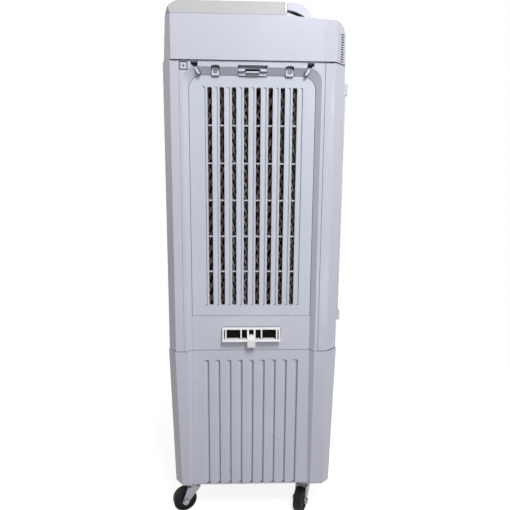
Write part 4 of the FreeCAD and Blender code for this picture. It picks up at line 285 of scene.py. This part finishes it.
def eased(node, edge, steps=2, crease=24):
    """The node's shape with every edge sharper than crease degrees eased by edge millimetres."""
    shape = cleaned(node)
    sharp = [e for e in shape.edges if e.is_manifold and e.calc_face_angle(0.0) > math.radians(crease)]
    bmesh.ops.bevel(shape, geom=sharp, offset=edge * MM, offset_type="OFFSET", segments=steps, profile=0.5,
                    affect="EDGES", clamp_overlap=True, material=-1)
    piece = new_piece(node + "_finished", shape, [node])
    even = piece.modifiers.new("even shading", "WEIGHTED_NORMAL")
    even.keep_sharp = True
    even.weight = 60


# ---------------------------------------------------------------- cooling pads

PAD_TURN = {"right": 0.0, "left": 180.0, "rear": -90.0}
SHEET_PITCH = 7.6 * MM
WAVE_LENGTH = 30.0 * MM
WAVE_STEPS = 10
# how far a sheet swings to each side, as a share of the pitch
WAVE_SWING = 0.46
PAPER = 0.7 * MM


def corrugated_pad(face):
    """Upright paper sheets with slanting waves. Every second sheet slants the other way."""
    node = f"cooling_pad_{face}"
    low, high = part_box(node)
    back = Matrix.Rotation(math.radians(-PAD_TURN[face]), 4, "Z")
    corners = [back @ low, back @ high]
    left, right = sorted(c.x for c in corners)
    front, rear = sorted(c.y for c in corners)
    depth = rear - front
    shape = bmesh.new()
    count = int((right - left) / SHEET_PITCH)
    margin = (right - left - (count - 1) * SHEET_PITCH) / 2
    swing = SHEET_PITCH * WAVE_SWING
    for number in range(count):
        slant = 1 if number % 2 else -1
        middle = left + margin + number * SHEET_PITCH
        foot = min(low.z, low.z - slant * depth) - WAVE_LENGTH
        steps = int((high.z - low.z + depth + 2 * WAVE_LENGTH) / WAVE_LENGTH * WAVE_STEPS)
        start = shape.verts.new((middle, front, foot))
        run = bmesh.ops.extrude_vert_indiv(shape, verts=[start])
        tip = run["verts"][0]
        bmesh.ops.translate(shape, verts=[tip], vec=(0, 0, steps * WAVE_LENGTH / WAVE_STEPS))
        cut = bmesh.ops.subdivide_edges(shape, edges=run["edges"], cuts=steps - 1)
        edges = list({e for e in cut["geom"] if isinstance(e, bmesh.types.BMEdge)} | set(run["edges"]))
        line = {v for e in edges for v in e.verts}
        # every second sheet is half a wave off, and each sheet a little more or less
        half_wave = 0.5 if slant > 0 else 0.0
        stray = 0.06 * math.sin(number * 2.7)
        for vert in line:
            phase = vert.co.z / WAVE_LENGTH + half_wave + stray
            vert.co.x += swing * math.sin(2 * math.pi * phase)
        drawn = bmesh.ops.extrude_edge_only(shape, edges=edges)
        moved = [v for v in drawn["geom"] if isinstance(v, bmesh.types.BMVert)]
        bmesh.ops.translate(shape, verts=moved, vec=(0, depth, slant * depth))
    for height, side in ((low.z, -1), (high.z, 1)):
        everything = shape.verts[:] + shape.edges[:] + shape.faces[:]
        bmesh.ops.bisect_plane(shape, geom=everything, plane_co=(0, 0, height), plane_no=(0, 0, side),
                               clear_outer=True)
    bmesh.ops.recalc_face_normals(shape, faces=shape.faces)
    bmesh.ops.solidify(shape, geom=shape.faces[:], thickness=PAPER)
    # depth into the pad, which the pad paper turns into painted shade
    inside = shape.verts.layers.float.new("inside")
    for vert in shape.verts:
        vert[inside] = (vert.co.y - front) / depth
    bmesh.ops.rotate(shape, verts=shape.verts, cent=(0, 0, 0),
                     matrix=Matrix.Rotation(math.radians(PAD_TURN[face]), 3, "Z"))
    new_piece(f"corrugated_pad_{face}", shape, [node], smooth=50)


SIDE_FACE = -310 * MM
# floor of the drawer's windows behind the side face
WINDOW_FLOOR = 12.3 * MM


def paint_shade_in_drawer_windows():
    """Makes the floors of the fill drawer's windows black: painted shade in the openings."""
    piece = bpy.data.objects["fill_drawer_finished"]
    # painted shade: a near-black, barely glossy finish standing in for the shade inside the window openings
    window_shade = moulded_plastic("painted window shade", (0.006, 0.006, 0.007), gloss=0.6, sheen=0.05)
    piece.data.materials.append(window_shade)
    for face in piece.data.polygons:
        on_floor = abs(face.center.y - (SIDE_FACE + WINDOW_FLOOR)) < 0.3 * MM
        if on_floor and face.normal.y < -0.9:
            face.material_index = 1


# ---------------------------------------------------------------- the cooler

# millimetres that edges are eased by: each large moulding has its own, the rest share the small one
SMALL_EASING = 0.4
EASING = {
    "water_tank": 1.4, "front_housing": 1.2, "rear_housing": 1.2, "side_panel_right": 1.0,
    "side_panel_left": 1.0, "top_housing": 1.2, "top_lid": 1.2, "control_hood": 0.9,
}
PADS = [f"cooling_pad_{face}" for face in PAD_TURN]

for name in slot_of:
    if name not in PADS:
        eased(name, EASING.get(name, SMALL_EASING))
for side in PAD_TURN:
    corrugated_pad(side)
paint_shade_in_drawer_windows()


# ---------------------------------------------------------------- studio

# name, place, aim, size, watts, tint
LAMPS = [
    ("key_panel", (0.50, -1.75, 2.50), (0.0, -0.3, 0.50), (0.60, 0.60), 38.0, (1.0, 0.995, 0.99)),
    ("low_panel", (0.15, -1.80, 0.25), (0.0, -0.3, 0.25), (0.90, 0.40), 2.6, (1.0, 1.0, 1.0)),
    ("tall_panel", (0.52, -1.38, 1.20), (0.1, -0.3, 1.00), (0.05, 0.90), 2.2, (1.0, 1.0, 1.0)),
    ("warm_panel", (-1.3, 0.45, 1.3), (-0.2, 0.0, 0.75), (0.6, 1.2), 4.0, (1.0, 0.80, 0.64)),
    ("top_panel", (0.1, 0.1, 3.2), (0.0, 0.0, 1.0), (2.0, 2.0), 9.0, (1.0, 1.0, 1.0)),
]


def panel_light(name, place, aim, size, power, tint):
    lamp = bpy.data.lights.new(name, "AREA")
    lamp.shape = "RECTANGLE"
    lamp.size, lamp.size_y = size
    lamp.energy = power
    lamp.color = tint
    holder = bpy.data.objects.new(name, lamp)
    bpy.context.scene.collection.objects.link(holder)
    holder.location = place
    holder.rotation_euler = (Vector(aim) - Vector(place)).to_track_quat("-Z", "Y").to_euler()
    holder.visible_camera = False


def seen_directly(tree):
    """1 for what the camera sees, straight or in a reflection or through glass."""
    path = wire(tree, "ShaderNodeLightPath")
    straight, glossy = path.outputs["Is Camera Ray"], path.outputs["Is Glossy Ray"]
    either = wire(tree, "ShaderNodeMath", {0: straight, 1: glossy}, operation="MAXIMUM").outputs["Value"]
    return wire(tree, "ShaderNodeMath", {0: either, 1: path.outputs["Is Transmission Ray"]},
                operation="MAXIMUM").outputs["Value"]


def studio_world():
    """White to the eye. As light it is brightest a little ahead of both sides, and dim and warm behind."""
    world = bpy.data.worlds.new("studio")
    world.use_nodes = True
    tree = world.node_tree
    tree.nodes.clear()
    way = wire(tree, "ShaderNodeTexCoord").outputs["Generated"]
    part = wire(tree, "ShaderNodeSeparateXYZ", {"Vector": way})
    across = span(tree, part.outputs["X"], -1.0, 1.0, 0.0, 1.0)
    tone = ramp(tree, across, (0.0, (0.40, 0.36, 0.34, 1.0)), (0.3, (0.25, 0.225, 0.21, 1.0)),
                (0.49, (0.40, 0.38, 0.36, 1.0)), (0.59, (1.0, 1.0, 1.0, 1.0)),
                (0.75, (0.76, 0.78, 0.81, 1.0)), (1.0, (0.36, 0.38, 0.41, 1.0)))
    above = span(tree, part.outputs["Z"], -0.05, 0.45, 0.50, 0.80)
    light = wire(tree, "ShaderNodeBackground", {"Color": tone, "Strength": above})
    white = wire(tree, "ShaderNodeBackground", {"Color": (1.0, 1.0, 1.0, 1.0), "Strength": 1.0})
    both = wire(tree, "ShaderNodeMixShader", {0: seen_directly(tree), 1: light.outputs[0],
                                              2: white.outputs[0]})
    out = wire(tree, "ShaderNodeOutputWorld")
    tree.links.new(both.outputs[0], out.inputs["Surface"])
    bpy.context.scene.world = world


FLOOR_RADIUS = 9.0


def studio_floor():
    shape = bmesh.new()
    bmesh.ops.create_circle(shape, cap_ends=True, segments=96, radius=FLOOR_RADIUS)
    mesh = bpy.data.meshes.new("studio_floor")
    shape.to_mesh(mesh)
    shape.free()
    floor = bpy.data.objects.new("studio_floor", mesh)
    bpy.context.scene.collection.objects.link(floor)
    finish, tree, place = blank_finish("studio floor")
    reach = wire(tree, "ShaderNodeVectorMath", {0: place}, operation="LENGTH").outputs["Value"]
    fade = span(tree, reach, 0.5, 1.6, 0.0, 1.0)
    paper = wire(tree, "ShaderNodeBsdfDiffuse", {"Color": (0.30, 0.30, 0.31, 1.0)})
    glow = wire(tree, "ShaderNodeEmission", {"Color": (1.0, 1.0, 1.0, 1.0), "Strength": 0.86})
    lit = wire(tree, "ShaderNodeAddShader", {0: paper.outputs[0], 1: glow.outputs[0]})
    plain = wire(tree, "ShaderNodeEmission", {"Color": (1.0, 1.0, 1.0, 1.0), "Strength": 1.0})
    near_far = wire(tree, "ShaderNodeMixShader", {0: fade, 1: lit.outputs[0], 2: plain.outputs[0]})
    bounce = wire(tree, "ShaderNodeBsdfDiffuse", {"Color": (0.05, 0.05, 0.052, 1.0)})
    both = wire(tree, "ShaderNodeMixShader", {0: seen_directly(tree), 1: bounce.outputs[0],
                                              2: near_far.outputs[0]})
    close(tree, both.outputs[0])
    mesh.materials.append(finish)


CAMERA_PLACE = (-0.0247, -1.2545, 0.8235)
CAMERA_LENS = 29.19
# degrees to the right, downwards and about the line of sight
CAMERA_TURN, CAMERA_DIP, CAMERA_ROLL = 1.952, 8.413, 0.363


def studio_camera():
    """Before the right side, looking slightly down and a little towards the outlet, hardly rolled."""
    camera = bpy.data.cameras.new("studio_camera")
    camera.sensor_width = 36.0
    camera.lens = CAMERA_LENS
    camera.clip_start = 0.05
    holder = bpy.data.objects.new("studio_camera", camera)
    bpy.context.scene.collection.objects.link(holder)
    turn = Matrix.Rotation(math.radians(-CAMERA_TURN), 4, "Z")
    tilt = Matrix.Rotation(math.radians(90.0 - CAMERA_DIP), 4, "X")
    roll = Matrix.Rotation(math.radians(CAMERA_ROLL), 4, "Z")
    holder.matrix_world = Matrix.Translation(CAMERA_PLACE) @ turn @ tilt @ roll
    bpy.context.scene.camera = holder


studio_world()
studio_floor()
studio_camera()
for lamp_row in LAMPS:
    panel_light(*lamp_row)

bpy.context.scene.view_settings.view_transform = "Standard"
